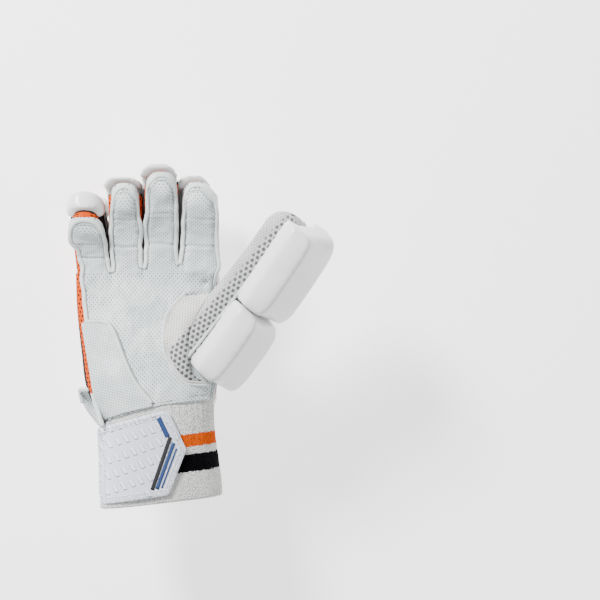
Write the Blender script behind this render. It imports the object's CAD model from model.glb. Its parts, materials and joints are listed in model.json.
"""The looks of a right-hand cricket batting glove that lies on its padded back, palm up."""

from __future__ import annotations

import json
import logging
import math
from dataclasses import dataclass, field
from enum import Enum
from typing import Sequence

import bmesh
import bpy
import numpy as np
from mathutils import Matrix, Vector, noise

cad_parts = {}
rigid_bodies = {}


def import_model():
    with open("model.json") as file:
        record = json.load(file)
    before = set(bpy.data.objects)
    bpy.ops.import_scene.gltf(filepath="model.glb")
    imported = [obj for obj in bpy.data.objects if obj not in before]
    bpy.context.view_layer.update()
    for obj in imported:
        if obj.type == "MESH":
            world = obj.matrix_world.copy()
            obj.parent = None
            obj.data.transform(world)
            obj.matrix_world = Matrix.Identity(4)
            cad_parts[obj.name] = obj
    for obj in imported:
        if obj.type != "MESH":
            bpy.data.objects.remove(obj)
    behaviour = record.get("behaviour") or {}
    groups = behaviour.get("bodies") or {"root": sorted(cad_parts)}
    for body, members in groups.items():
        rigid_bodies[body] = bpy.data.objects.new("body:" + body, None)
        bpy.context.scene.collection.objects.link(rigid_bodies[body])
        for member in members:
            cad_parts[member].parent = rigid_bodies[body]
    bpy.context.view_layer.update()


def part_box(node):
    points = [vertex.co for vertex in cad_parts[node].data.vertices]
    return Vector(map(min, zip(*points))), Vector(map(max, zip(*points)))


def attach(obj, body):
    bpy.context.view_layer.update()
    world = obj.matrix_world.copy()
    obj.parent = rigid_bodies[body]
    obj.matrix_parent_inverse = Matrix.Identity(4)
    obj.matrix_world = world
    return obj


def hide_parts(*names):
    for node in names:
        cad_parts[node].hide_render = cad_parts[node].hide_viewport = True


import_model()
LOG = logging.getLogger("glove")
MM = 0.001
PATTERN = "Pattern"
NET = "net"


# Sizes of the glove, in millimetres, in the frame of its own wrist


def along(table: dict[str, Sequence[float]], name: str, share: np.ndarray | float) -> np.ndarray:
    """Reads a table's column at a share, on a smooth curve through its rows.

    Args:
        table: Columns by name, one of them the rising share.
        name: The column to read.
        share: One share or an array of them.

    Returns:
        The column's values at the shares.
    """
    xs = np.asarray(table["share"], float)
    ys = np.asarray(table[name], float)
    share = np.clip(np.asarray(share, float), xs[0], xs[-1])
    row = np.clip(np.searchsorted(xs, share, side="left") - 1, 0, len(xs) - 2)
    slopes = np.gradient(ys, xs)
    slopes[1:-1] = (ys[2:] - ys[:-2]) / (xs[2:] - xs[:-2])
    span = xs[row + 1] - xs[row]
    t = (share - xs[row]) / span
    ease = t * t * (3 - 2 * t)
    rise = (t**3 - 2 * t**2 + t) * span * slopes[row] + (t**3 - t**2) * span * slopes[row + 1]
    return ys[row] * (1 - ease) + ys[row + 1] * ease + rise


def ease(low: float, high: float, value: np.ndarray | float) -> np.ndarray:
    """Rises smoothly from 0 at low to 1 at high."""
    t = np.clip((np.asarray(value, float) - low) / (high - low), 0, 1)
    return t * t * (3 - 2 * t)


@dataclass(frozen=True)
class Finger:
    """One finger's lane: its name, length, bend in degrees, middle line, half widths and roll depth."""

    name: str
    length: float
    bend: float
    wrist_x: float
    base_x: float
    tip_x: float
    wrist_half: float
    base_half: float
    tip_half: float
    roll: float


@dataclass(frozen=True)
class GloveForm:
    """Driving sizes of the glove and the curves that follow from them, the same as those of its solids."""

    palm_length: float = 112.0
    wrist_line: float = 6.0
    knuckle_width: float = 116.0
    floor: float = 46.0
    knuckle_depth: float = 34.0
    wrist_rise: float = 42.0
    slant: float = 0.18
    seam_middle: float = 4.0
    bar: float = 12.0
    bar_rise: float = 24.0
    cuff_length: float = 74.0
    cuff_width: float = 92.0
    cuff_depth: float = 70.0
    cuff_slant: float = 0.12
    cuff_flare: float = 1.04
    thumb_width: float = 41.0
    thumb_depth: float = 30.0
    thumb_turn: float = 63.0
    thumb_root: tuple[float, float, float] = (24.36, 40.94, 82.0)
    thumb_span: tuple[float, float, float] = (90.0, 122.0, 44.0)
    thumb_bow: tuple[float, float, float] = (0.5, 0.44, 0.4)
    clearance: float = 0.3
    hand: dict = field(default_factory=lambda: {
        "share": (0.0, 0.2, 0.45, 0.75, 1.0),
        "left": (-0.362, -0.474, -0.517, -0.552, -0.562),
        "right": (0.431, 0.452, 0.461, 0.45, 0.44),
        "back": (0.15, 0.1, 0.05, 0.0, 0.0),
        "seam": (0.98, 0.86, 0.67, 0.5, 0.45),
        "front": (1.81, 1.69, 1.43, 1.05, 0.81),
        "palm_curve": (2.2, 2.3, 2.5, 2.8, 3.2),
        "back_curve": (2.4, 3.0, 4.0, 5.0, 6.0),
    })
    stall: dict = field(default_factory=lambda: {
        "share": (0.0, 0.35, 0.7, 1.0),
        "depth": (1.0, 0.86, 0.78, 0.72),
        "width": (0.0, 0.5, 1.0, 1.0),
    })
    thumb: dict = field(default_factory=lambda: {
        "share": (0.0, 0.3, 0.6, 1.0),
        "width": (1.35, 1.25, 1.06, 0.96),
        "depth": (1.3, 1.2, 1.04, 0.94),
    })
    fingers: tuple[Finger, ...] = (
        Finger("index", 87.0, 40, 38.5, 35.4, 35.7, 11.5, 15.2, 13.3, 30.9),
        Finger("middle", 101.5, 50, 15.5, 5.7, 6.7, 11.5, 14.0, 14.8, 34.0),
        Finger("ring", 99.0, 56, -7.5, -21.6, -24.2, 11.5, 13.0, 15.1, 34.0),
        Finger("little", 75.1, 72, -30.5, -49.8, -56.7, 11.5, 14.6, 14.6, 30.9),
    )

    @property
    def knuckle(self) -> float:
        """Where the finger lanes start, along Y."""
        return self.wrist_line + self.palm_length + self.clearance

    @property
    def wrist_axis(self) -> float:
        """Height of the cuff's middle."""
        return self.floor + 0.98 * self.wrist_rise

    def hand_size(self, share: np.ndarray | float) -> dict[str, np.ndarray]:
        """Sides, heights and squareness of the hand at a share of the palm's length."""
        size = {name: along(self.hand, name, share) for name in self.hand if name != "share"}
        for name in ("left", "right"):
            size[name] = size[name] * self.knuckle_width
        for name in ("back", "seam", "front"):
            size[name] = self.floor + size[name] * self.wrist_rise
        return size

    def lane(self, finger: Finger, place: np.ndarray) -> tuple[np.ndarray, ...]:
        """Middle line of a lane at places from -1, the wrist, over 0, the knuckle, to 1, the fingertip.

        Args:
            finger: The finger whose lane it is.
            place: Places along the lane.

        Returns:
            The x, y, z and the angle of the lane at each place.
        """
        place = np.asarray(place, float)
        bend = math.radians(finger.bend)
        radius = finger.length / bend
        angle = bend * np.clip(place, 0, None)
        back = np.clip(place, None, 0)
        x = finger.base_x + (finger.wrist_x - finger.base_x) * -back
        x = x + (finger.tip_x - finger.base_x) * np.clip(place, 0, 1)
        y = self.knuckle + back * self.palm_length + radius * np.sin(angle)
        z = self.floor + radius * (1 - np.cos(angle))
        return x, y, z, angle

    def lane_point(self, finger: Finger, place: np.ndarray, across: np.ndarray,
                   out: np.ndarray) -> np.ndarray:
        """Points of a lane, across it and out of the palm from the line where the finger rests."""
        x, y, z, angle = self.lane(finger, place)
        spots = x + across, y - out * np.sin(angle), z + out * np.cos(angle)
        return np.stack(np.broadcast_arrays(*spots), -1)

    def lane_half(self, finger: Finger, place: np.ndarray) -> np.ndarray:
        """Half the width of a lane at places along it."""
        place = np.asarray(place, float)
        width = along(self.stall, "width", place)
        forward = finger.base_half + (finger.tip_half - finger.base_half) * width
        behind = finger.base_half - (finger.wrist_half - finger.base_half) * place
        return np.where(place < 0, behind, forward)

    def stall_depth(self, place: np.ndarray) -> np.ndarray:
        """Depth of a finger stall at places along it."""
        return self.knuckle_depth * along(self.stall, "depth", place)

    def thumb_point(self, share: np.ndarray, across: np.ndarray, out: np.ndarray) -> np.ndarray:
        """Points about the thumb's middle line, across its back and out of its back."""
        root = np.array(self.thumb_root)
        tip = root + np.array(self.thumb_span)
        bow = root + np.array(self.thumb_span) * np.array(self.thumb_bow)
        steps = np.linspace(0, 1, 201)[:, None]
        line = (1 - steps) ** 2 * root + 2 * steps * (1 - steps) * bow + steps**2 * tip
        lengths = np.concatenate([[0], np.cumsum(np.linalg.norm(np.diff(line, axis=0), axis=1))])
        share = np.asarray(share, float)
        inside = np.clip(share, 0, 1)
        t = np.interp(inside * lengths[-1], lengths, steps[:, 0])[..., None]
        point = (1 - t) ** 2 * root + 2 * t * (1 - t) * bow + t**2 * tip
        run = 2 * (1 - t) * (bow - root) + 2 * t * (tip - bow)
        run /= np.linalg.norm(run, axis=-1, keepdims=True)
        point = point + run * ((share - inside) * lengths[-1])[..., None]
        outward = np.cross(run, [0.0, 0.0, 1.0])
        outward /= np.linalg.norm(outward, axis=-1, keepdims=True)
        upward = np.cross(outward, run)
        turn = math.radians(self.thumb_turn)
        dorsal = outward * math.sin(turn) + upward * math.cos(turn)
        lateral = outward * math.cos(turn) - upward * math.sin(turn)
        return point + lateral * np.asarray(across)[..., None] + dorsal * np.asarray(out)[..., None]

    @property
    def thumb_length(self) -> float:
        """Length of the thumb's middle line."""
        steps = self.thumb_point(np.linspace(0, 1, 60), np.zeros(60), np.zeros(60))
        return float(np.linalg.norm(np.diff(steps, axis=0), axis=1).sum())

    def cuff_point(self, share: np.ndarray, angle: np.ndarray, grow: np.ndarray | float) -> np.ndarray:
        """Points of the cuff from its seam, 0, to its mouth, 1, round its axis, grown outwards."""
        flare = 1 + (self.cuff_flare - 1) * share
        power = 2 / 2.3
        cos, sin = np.cos(angle), np.sin(angle)
        x = (self.cuff_width / 2 * flare + grow) * np.sign(cos) * np.abs(cos) ** power
        z = (self.cuff_depth / 2 * flare + grow) * np.sign(sin) * np.abs(sin) ** power
        slant = self.slant + (self.cuff_slant - self.slant) * share
        y = self.wrist_line - self.clearance - share * self.cuff_length + slant * x
        return np.stack(np.broadcast_arrays(self.seam_middle + x, y, self.wrist_axis + z), -1)


FORM = GloveForm()


def slanted(share: np.ndarray, x: np.ndarray) -> np.ndarray:
    """How far along Y a share of the palm's length lies, which slants towards the wrist."""
    return FORM.wrist_line + share * FORM.palm_length + FORM.slant * (1 - share) ** 2 * (x - FORM.seam_middle)


def hand_span(size: dict[str, np.ndarray]) -> tuple[np.ndarray, np.ndarray]:
    """Middle and half width of the hand from its sizes."""
    return (size["left"] + size["right"]) / 2, (size["right"] - size["left"]) / 2


def origin_shift() -> np.ndarray:
    """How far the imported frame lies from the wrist's own frame, in millimetres, read from the CAD solids."""
    low, high = (np.array(corner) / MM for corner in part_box("cuff"))
    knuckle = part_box("palm_shell")[1][1] / MM
    middle = (low + high) / 2
    end = FORM.wrist_line + FORM.palm_length
    return np.array([middle[0] - FORM.seam_middle, knuckle - end, middle[2] - FORM.wrist_axis])


SHIFT = origin_shift()


# Meshes from grids of points


class Close(Enum):
    """How a grid closes on itself."""

    OPEN = "open"
    RING = "ring"


@dataclass
class Grid:
    """Rows of points with pattern coordinates in millimetres, open or closed round each row."""

    points: np.ndarray
    pattern: np.ndarray
    close: Close = Close.OPEN
    caps: bool = False


def upper_normals(points: np.ndarray) -> np.ndarray:
    """Unit normals of an open grid of points, turned to its upper side."""
    normal = np.cross(np.gradient(points, axis=1), np.gradient(points, axis=0))
    normal /= np.maximum(np.linalg.norm(normal, axis=-1, keepdims=True), 1e-9)
    return normal * np.sign(normal[..., 2:3].mean() or 1.0)


def mesh_from(name: str, grids: Sequence[Grid], material: bpy.types.Material,
              weld: float = 0.0) -> bpy.types.Object:
    """Makes one smooth mesh object of grids, with its pattern coordinates as a UV map.

    Args:
        name: Name of the piece.
        grids: The grids, in millimetres, in the wrist's frame.
        material: Its finish.
        weld: Distance under which points are merged, in millimetres; 0 merges none.

    Returns:
        The object, at the origin, in metres.
    """
    verts: list[np.ndarray] = []
    faces: list[list[int]] = []
    uvs: list[list[tuple[float, float]]] = []
    base = 0
    for grid in grids:
        rows, columns = grid.points.shape[:2]
        verts.append(grid.points.reshape(-1, 3))
        span = columns if grid.close is Close.RING else columns - 1
        for i in range(rows - 1):
            for j in range(span):
                k = (j + 1) % columns
                faces.append([base + i * columns + j, base + i * columns + k,
                              base + (i + 1) * columns + k, base + (i + 1) * columns + j])
                spots = ((i, j), (i, j + 1), (i + 1, j + 1), (i + 1, j))
                uvs.append([tuple(grid.pattern[a, b]) for a, b in spots])
        if grid.caps:
            for row, turned in ((0, True), (rows - 1, False)):
                ring = [base + row * columns + j for j in range(columns)]
                spots = [tuple(grid.pattern[row, j]) for j in range(columns)]
                faces.append(ring[::-1] if turned else ring)
                uvs.append(spots[::-1] if turned else spots)
        base += rows * columns
    data = bpy.data.meshes.new(name)
    places = (np.concatenate(verts) + SHIFT) * MM
    data.from_pydata(places.tolist(), [], faces)
    layer = data.uv_layers.new(name=PATTERN)
    flat = [value for face in uvs for spot in face for value in spot]
    layer.data.foreach_set("uv", flat)
    data.materials.append(material)
    piece = bpy.data.objects.new(name, data)
    bpy.context.collection.objects.link(piece)
    tidy_mesh(piece, weld)
    return piece


def tidy_mesh(piece: bpy.types.Object, weld: float) -> None:
    """Merges doubled points, turns closed forms outwards and shades the mesh smooth."""
    work = bmesh.new()
    work.from_mesh(piece.data)
    if weld:
        bmesh.ops.remove_doubles(work, verts=work.verts, dist=weld * MM)
    if all(len(edge.link_faces) == 2 for edge in work.edges):
        bmesh.ops.recalc_face_normals(work, faces=work.faces)
    for face in work.faces:
        face.smooth = True
    work.to_mesh(piece.data)
    work.free()
    piece.data.update()


def read_points(mesh: bpy.types.Mesh) -> np.ndarray:
    """The mesh's points, one a row, in metres."""
    flat = np.empty(len(mesh.vertices) * 3)
    mesh.vertices.foreach_get("co", flat)
    return flat.reshape(-1, 3)


def write_points(mesh: bpy.types.Mesh, points: np.ndarray) -> None:
    """Moves the mesh's points to the rows' places, in metres."""
    mesh.vertices.foreach_set("co", points.ravel())
    mesh.update()


def apply_modifiers(piece: bpy.types.Object) -> None:
    """Turns a piece's evaluated form into its plain mesh and removes its modifiers."""
    depsgraph = bpy.context.evaluated_depsgraph_get()
    done = bpy.data.meshes.new_from_object(piece.evaluated_get(depsgraph), depsgraph=depsgraph)
    piece.modifiers.clear()
    old = piece.data
    piece.data = done
    bpy.data.meshes.remove(old)


def soften(piece: bpy.types.Object, rounds: int) -> None:
    """Smooths a piece's points by a number of rounds."""
    smooth = piece.modifiers.new("smooth", "SMOOTH")
    smooth.iterations = rounds
    apply_modifiers(piece)


def thicken(piece: bpy.types.Object, thickness: float) -> None:
    """Gives an open sheet its thickness, in millimetres, inwards from the shown side."""
    solid = piece.modifiers.new("wall", "SOLIDIFY")
    solid.thickness = thickness * MM
    solid.offset = -1
    solid.use_even_offset = False
    apply_modifiers(piece)


def join(name: str, parts: Sequence[bpy.types.Object]) -> bpy.types.Object:
    """Joins mesh objects into the first one and names it."""
    first = parts[0]
    if len(parts) > 1:
        with bpy.context.temp_override(active_object=first, selected_editable_objects=list(parts)):
            bpy.ops.object.join()
    first.name = name
    first.data.name = name
    return first


def tube_grid(path: np.ndarray, radius: float, flat: float = 1.0, looped: bool = False, sides: int = 8,
              up: np.ndarray | None = None) -> Grid:
    """The grid of a tube along a path.

    Args:
        path: The path's points.
        radius: The tube's radius.
        flat: Height of its section as a share of its width.
        looped: Whether the path closes on itself.
        sides: Points round the section.
        up: Direction of the flattened side at each point; upwards where it isn't given.

    Returns:
        The tube's grid.
    """
    if looped:
        path = np.vstack([path, path[:1]])
    run = np.gradient(path, axis=0)
    if looped:
        run[0] = run[-1] = path[1] - path[-2]
    run /= np.maximum(np.linalg.norm(run, axis=1, keepdims=True), 1e-9)
    if up is None:
        up = np.tile([0.0, 0.0, 1.0], (len(path), 1))
    elif looped and len(up) < len(path):
        up = np.vstack([up, up[:1]])
    side = np.cross(run, up)
    side /= np.maximum(np.linalg.norm(side, axis=1, keepdims=True), 1e-9)
    raised = np.cross(side, run)
    turn = np.arange(sides) / sides * 2 * math.pi
    ring = path[:, None] + radius * (np.cos(turn)[None, :, None] * side[:, None]
                                     + flat * np.sin(turn)[None, :, None] * raised[:, None])
    length = np.concatenate([[0], np.cumsum(np.linalg.norm(np.diff(path, axis=0), axis=1))])
    pattern = np.zeros((len(path), sides + 1, 2))
    pattern[..., 0] = (np.arange(sides + 1) / sides * 2 * math.pi * radius)[None]
    pattern[..., 1] = length[:, None]
    return Grid(ring, pattern, Close.RING, caps=not looped)


# Shader node helpers


class Tree:
    """A node tree that is written by short calls."""

    def __init__(self, tree: bpy.types.NodeTree) -> None:
        """Wraps a node tree."""
        self.tree = tree

    def add(self, kind: str, **values: object) -> bpy.types.Node:
        """Adds a node and sets its properties."""
        node = self.tree.nodes.new(kind)
        for name, value in values.items():
            setattr(node, name, value)
        return node

    def feed(self, socket: bpy.types.NodeSocket, value: object) -> None:
        """Links a socket into an input, or sets the input's value."""
        if isinstance(value, bpy.types.NodeSocket):
            self.tree.links.new(value, socket)
        elif value is not None:
            socket.default_value = value

    def math(self, operation: str, *values: object, clamp: bool = False) -> bpy.types.NodeSocket:
        """A math node's result."""
        node = self.add("ShaderNodeMath", operation=operation, use_clamp=clamp)
        for socket, value in zip(node.inputs, values):
            self.feed(socket, value)
        return node.outputs[0]

    def range(self, value: object, low: float, high: float, first: float = 0.0,
              last: float = 1.0) -> bpy.types.NodeSocket:
        """A value mapped smoothly from one range to another."""
        node = self.add("ShaderNodeMapRange", interpolation_type="SMOOTHSTEP")
        for socket, item in zip(node.inputs, (value, low, high, first, last)):
            self.feed(socket, item)
        return node.outputs[0]

    def mix(self, share: object, first: object, second: object) -> bpy.types.NodeSocket:
        """A colour mixed from two."""
        node = self.add("ShaderNodeMix", data_type="RGBA")
        self.feed(node.inputs[0], share)
        self.feed(node.inputs[6], first)
        self.feed(node.inputs[7], second)
        return node.outputs[2]

    def noise(self, vector: object, scale: float, detail: float = 3.0,
              rough: float = 0.5) -> bpy.types.NodeSocket:
        """A noise texture's value."""
        node = self.add("ShaderNodeTexNoise")
        self.feed(node.inputs["Vector"], vector)
        node.inputs["Scale"].default_value = scale
        node.inputs["Detail"].default_value = detail
        node.inputs["Roughness"].default_value = rough
        return node.outputs[0]

    def group(self, tree: bpy.types.NodeTree, **values: object) -> bpy.types.Node:
        """Places a node group with its inputs, whose names have spaces for underscores."""
        node = self.add("ShaderNodeGroup", node_tree=tree)
        for name, value in values.items():
            self.feed(node.inputs[name.replace("_", " ")], value)
        return node


def rgba(red: float, green: float, blue: float) -> tuple[float, float, float, float]:
    """A colour with full alpha."""
    return (red, green, blue, 1.0)


def darker(color: Sequence[float], share: float) -> tuple[float, float, float, float]:
    """A colour at a share of its brightness."""
    return rgba(*(share * value for value in color[:3]))


def new_group(name: str, inputs: dict[str, tuple[str, object]],
              outputs: Sequence[str]) -> tuple[Tree, dict, dict]:
    """Starts a shader node group with named inputs and outputs.

    Args:
        name: The group's name.
        inputs: Socket type and first value of each input by name.
        outputs: Names of the outputs, all of them numbers.

    Returns:
        Its tree, its input sockets by name and its output sockets by name.
    """
    tree = bpy.data.node_groups.new(name, "ShaderNodeTree")
    for label, (kind, value) in inputs.items():
        socket = tree.interface.new_socket(label, in_out="INPUT", socket_type=kind)
        if value is not None:
            socket.default_value = value
    for label in outputs:
        tree.interface.new_socket(label, in_out="OUTPUT", socket_type=FLOAT)
    start = tree.nodes.new("NodeGroupInput")
    end = tree.nodes.new("NodeGroupOutput")
    return Tree(tree), {s.name: s for s in start.outputs}, {s.name: s for s in end.inputs}


FLOAT = "NodeSocketFloat"
VECTOR = "NodeSocketVector"


def build_lattice_group() -> bpy.types.NodeTree:
    """A staggered lattice of round holes on a flat pattern: masks of the holes and of their rims."""
    tree, given, out = new_group(
        "Hole lattice",
        {"Vector": (VECTOR, None), "Pitch X": (FLOAT, 2.5), "Pitch Y": (FLOAT, 2.1), "Radius": (FLOAT, 0.45),
         "Soft": (FLOAT, 0.2)},
        ("Hole", "Rim"),
    )
    split = tree.add("ShaderNodeSeparateXYZ")
    tree.feed(split.inputs[0], given["Vector"])
    row = tree.math("DIVIDE", split.outputs[1], given["Pitch Y"])
    row_floor = tree.math("FLOOR", row)
    odd = tree.math("PINGPONG", row_floor, 1.0)
    place = tree.math("DIVIDE", split.outputs[0], given["Pitch X"])
    column = tree.math("ADD", place, tree.math("MULTIPLY", odd, 0.5))
    across = tree.math("MULTIPLY", tree.math("SUBTRACT", tree.math("FRACT", column), 0.5), given["Pitch X"])
    up = tree.math("MULTIPLY", tree.math("SUBTRACT", tree.math("FRACT", row), 0.5), given["Pitch Y"])
    square = tree.math("ADD", tree.math("MULTIPLY", across, across), tree.math("MULTIPLY", up, up))
    distance = tree.math("SQRT", square)
    edge = tree.math("DIVIDE", tree.math("SUBTRACT", distance, given["Radius"]), given["Soft"])
    hole = tree.math("SUBTRACT", 1.0, tree.math("ADD", edge, 0.5, clamp=True))
    rim_edge = tree.math("ABSOLUTE", tree.math("SUBTRACT", edge, 1.4))
    rim = tree.math("SUBTRACT", 1.0, rim_edge, clamp=True)
    tree.feed(out["Hole"], hole)
    tree.feed(out["Rim"], rim)
    return tree.tree


def build_grain_group() -> bpy.types.NodeTree:
    """Leather grain: the height of small pebbles and softer wrinkles, and a blotchy tone."""
    tree, given, out = new_group(
        "Leather grain",
        {"Vector": (VECTOR, None), "Size": (FLOAT, 900.0), "Wrinkle": (FLOAT, 0.35)},
        ("Height", "Tone"),
    )
    pebble = tree.add("ShaderNodeTexVoronoi", feature="SMOOTH_F1")
    tree.feed(pebble.inputs["Vector"], given["Vector"])
    tree.feed(pebble.inputs["Scale"], given["Size"])
    crease = tree.add("ShaderNodeTexNoise")
    tree.feed(crease.inputs["Vector"], given["Vector"])
    tree.feed(crease.inputs["Scale"], tree.math("MULTIPLY", given["Size"], 0.28))
    crease.inputs["Detail"].default_value = 4.0
    blotch = tree.noise(given["Vector"], 42.0, 3.0, 0.6)
    fold = tree.math("MULTIPLY", crease.outputs[0], given["Wrinkle"])
    height = tree.math("ADD", tree.math("MULTIPLY", pebble.outputs["Distance"], -0.6), fold)
    tree.feed(out["Height"], height)
    tree.feed(out["Tone"], blotch)
    return tree.tree


Color = tuple[float, float, float, float]


@dataclass(frozen=True)
class Effects:
    """The node groups that several finishes share."""

    lattice: bpy.types.NodeTree
    grain: bpy.types.NodeTree


class Coat(Tree):
    """A new material that a finish writes by short calls."""

    def __init__(self, name: str, effects: Effects) -> None:
        """Starts a material with its shader and its object coordinates."""
        self.material = bpy.data.materials.new(name)
        self.material.use_nodes = True
        super().__init__(self.material.node_tree)
        self.effects = effects
        self.shader = self.tree.nodes["Principled BSDF"]
        self.place = self.add("ShaderNodeTexCoord").outputs["Object"]

    def pattern(self) -> bpy.types.NodeSocket:
        """The piece's own pattern coordinates."""
        return self.add("ShaderNodeUVMap", uv_map=PATTERN).outputs[0]

    def split(self, vector: object) -> Sequence[bpy.types.NodeSocket]:
        """The three parts of a vector."""
        node = self.add("ShaderNodeSeparateXYZ")
        self.feed(node.inputs[0], vector)
        return node.outputs

    def grain(self, size: float, wrinkle: float) -> tuple[bpy.types.NodeSocket, bpy.types.NodeSocket]:
        """Height and tone of the leather grain."""
        node = self.group(self.effects.grain, Vector=self.place, Size=size, Wrinkle=wrinkle)
        return node.outputs["Height"], node.outputs["Tone"]

    def holes(self, vector: object, pitch_x: float, pitch_y: float, radius: float,
              soft: float) -> tuple[bpy.types.NodeSocket, bpy.types.NodeSocket]:
        """Masks of the staggered holes and of their rims, with the lattice's sizes in millimetres."""
        node = self.group(self.effects.lattice, Vector=vector, Pitch_X=pitch_x, Pitch_Y=pitch_y,
                          Radius=radius, Soft=soft)
        return node.outputs["Hole"], node.outputs["Rim"]

    def smudge(self) -> bpy.types.NodeSocket:
        """Soft handling marks."""
        return self.range(self.noise(self.place, 60.0, 4.0, 0.62), 0.45, 0.8)

    def paint(self, color: object, rough: object, **values: object) -> None:
        """Sets the colour, the roughness and other inputs, whose names have spaces for underscores."""
        self.feed(self.shader.inputs["Base Color"], color)
        self.feed(self.shader.inputs["Roughness"], rough)
        for name, value in values.items():
            self.feed(self.shader.inputs[name.replace("_", " ")], value)

    def bump(self, height: object, depth: float) -> bpy.types.Material:
        """Feeds a height, in units of the depth in metres, to the shader's normal and gives the material."""
        node = self.add("ShaderNodeBump")
        node.inputs["Strength"].default_value = 1.0
        node.inputs["Distance"].default_value = depth
        self.feed(node.inputs["Height"], height)
        self.feed(self.shader.inputs["Normal"], node.outputs[0])
        return self.material

    def coated(self, color: object, rough: object) -> bpy.types.Material:
        """Ends the material as coated leather with a faint grain."""
        self.paint(color, rough, Coat_Weight=0.25, Coat_Roughness=0.22)
        return self.bump(self.grain(1100.0, 0.3)[0], 0.00006)


@dataclass(frozen=True)
class Leather:
    """Soft glove leather with fine grain and, where asked, staggered perforations."""

    name: str
    light: Color
    dark: Color
    holes: bool = False
    rough: float = 0.55

    def make(self, effects: Effects) -> bpy.types.Material:
        """Builds the material."""
        coat = Coat(self.name, effects)
        grain, tone = coat.grain(760.0, 0.5)
        color = coat.mix(coat.range(tone, 0.36, 0.66), self.dark, self.light)
        height = coat.math("MULTIPLY", grain, 0.5)
        if self.holes:
            hole, _ = coat.holes(coat.pattern(), 3.3, 1.9, 0.45, 0.25)
            color = coat.mix(coat.math("MULTIPLY", hole, 0.95), color, rgba(0.03, 0.035, 0.04))
            height = coat.math("SUBTRACT", height, coat.math("MULTIPLY", hole, 1.2))
        rough = coat.range(tone, 0.3, 0.7, self.rough + 0.06, self.rough - 0.05)
        coat.paint(color, rough, Sheen_Weight=0.08)
        return coat.bump(height, 0.00016)


@dataclass(frozen=True)
class Coated:
    """Smooth coated leather over foam, with a faint grain and soft handling marks."""

    name: str
    base: Color
    rough: float

    def make(self, effects: Effects) -> bpy.types.Material:
        """Builds the material."""
        coat = Coat(self.name, effects)
        smudge = coat.smudge()
        color = coat.mix(coat.math("MULTIPLY", smudge, 0.45), self.base, darker(self.base, 0.9))
        return coat.coated(color, coat.range(smudge, 0.0, 1.0, self.rough, self.rough + 0.14))


@dataclass(frozen=True)
class Striped:
    """White coated leather of the back rolls with tapered orange slashes across the lanes."""

    name: str
    white: Color
    worn: Color
    orange: Color
    pitch: float = 13.0

    def make(self, effects: Effects) -> bpy.types.Material:
        """Builds the material."""
        coat = Coat(self.name, effects)
        across, length, _ = coat.split(coat.pattern())
        sway = coat.math("MULTIPLY", coat.math("SINE", coat.math("MULTIPLY", across, 0.11)), 3.0)
        lean = coat.math("ADD", length, coat.math("ADD", coat.math("MULTIPLY", across, 0.32), sway))
        turns = coat.math("DIVIDE", lean, self.pitch)
        offset = coat.math("SUBTRACT", coat.math("FRACT", turns), 0.5)
        pick = coat.add("ShaderNodeTexWhiteNoise", noise_dimensions="1D")
        coat.feed(pick.inputs["W"], coat.math("FLOOR", turns))
        reach = coat.math("MULTIPLY_ADD", pick.outputs[0], 22.0, -2.0)
        taper = coat.math("DIVIDE", coat.math("SUBTRACT", reach, across), 30.0, clamp=True)
        width = coat.math("MULTIPLY", coat.math("POWER", taper, 0.8), 0.34)
        wave = coat.math("MULTIPLY", coat.math("SUBTRACT", coat.noise(coat.place, 160.0, 1.0), 0.5), 0.03)
        edge = coat.math("SUBTRACT", width, coat.math("ABSOLUTE", offset))
        slash = coat.range(coat.math("ADD", edge, wave), -0.012, 0.012)
        smudge = coat.smudge()
        white = coat.mix(coat.math("MULTIPLY", smudge, 0.4), self.white, self.worn)
        return coat.coated(coat.mix(slash, white, self.orange), coat.range(smudge, 0.0, 1.0, 0.3, 0.43))


@dataclass(frozen=True)
class Thread:
    """Matt threads with a fine twist."""

    name: str
    base: Color

    def make(self, effects: Effects) -> bpy.types.Material:
        """Builds the material."""
        coat = Coat(self.name, effects)
        fibre = coat.noise(coat.place, 2600.0, 2.0)
        color = coat.mix(coat.range(fibre, 0.35, 0.65), darker(self.base, 0.72), self.base)
        coat.paint(color, coat.range(fibre, 0.3, 0.7, 0.95, 0.8), Sheen_Weight=0.2)
        return coat.bump(fibre, 0.00012)


@dataclass(frozen=True)
class SideNet:
    """Side walls of the fingers: black knit with a net of orange over its middle."""

    name: str
    black: Color
    deep: Color
    orange: Color

    def make(self, effects: Effects) -> bpy.types.Material:
        """Builds the material."""
        coat = Coat(self.name, effects)
        pattern = coat.pattern()
        hole, _ = coat.holes(pattern, 4.4, 3.3, 0.95, 0.5)
        inside = coat.range(coat.math("ABSOLUTE", coat.split(pattern)[0]), 4.6, 5.2, 1.0, 0.0)
        net = coat.math("MULTIPLY", coat.math("SUBTRACT", 1.0, hole), inside)
        fibre = coat.noise(coat.place, 2200.0, 2.0)
        color = coat.mix(net, self.black, coat.mix(fibre, self.deep, self.orange))
        coat.paint(color, coat.range(fibre, 0.2, 0.8, 0.95, 0.78), Specular_IOR_Level=0.08)
        return coat.bump(coat.math("ADD", net, coat.math("MULTIPLY", fibre, 0.3)), 0.0005)


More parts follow.
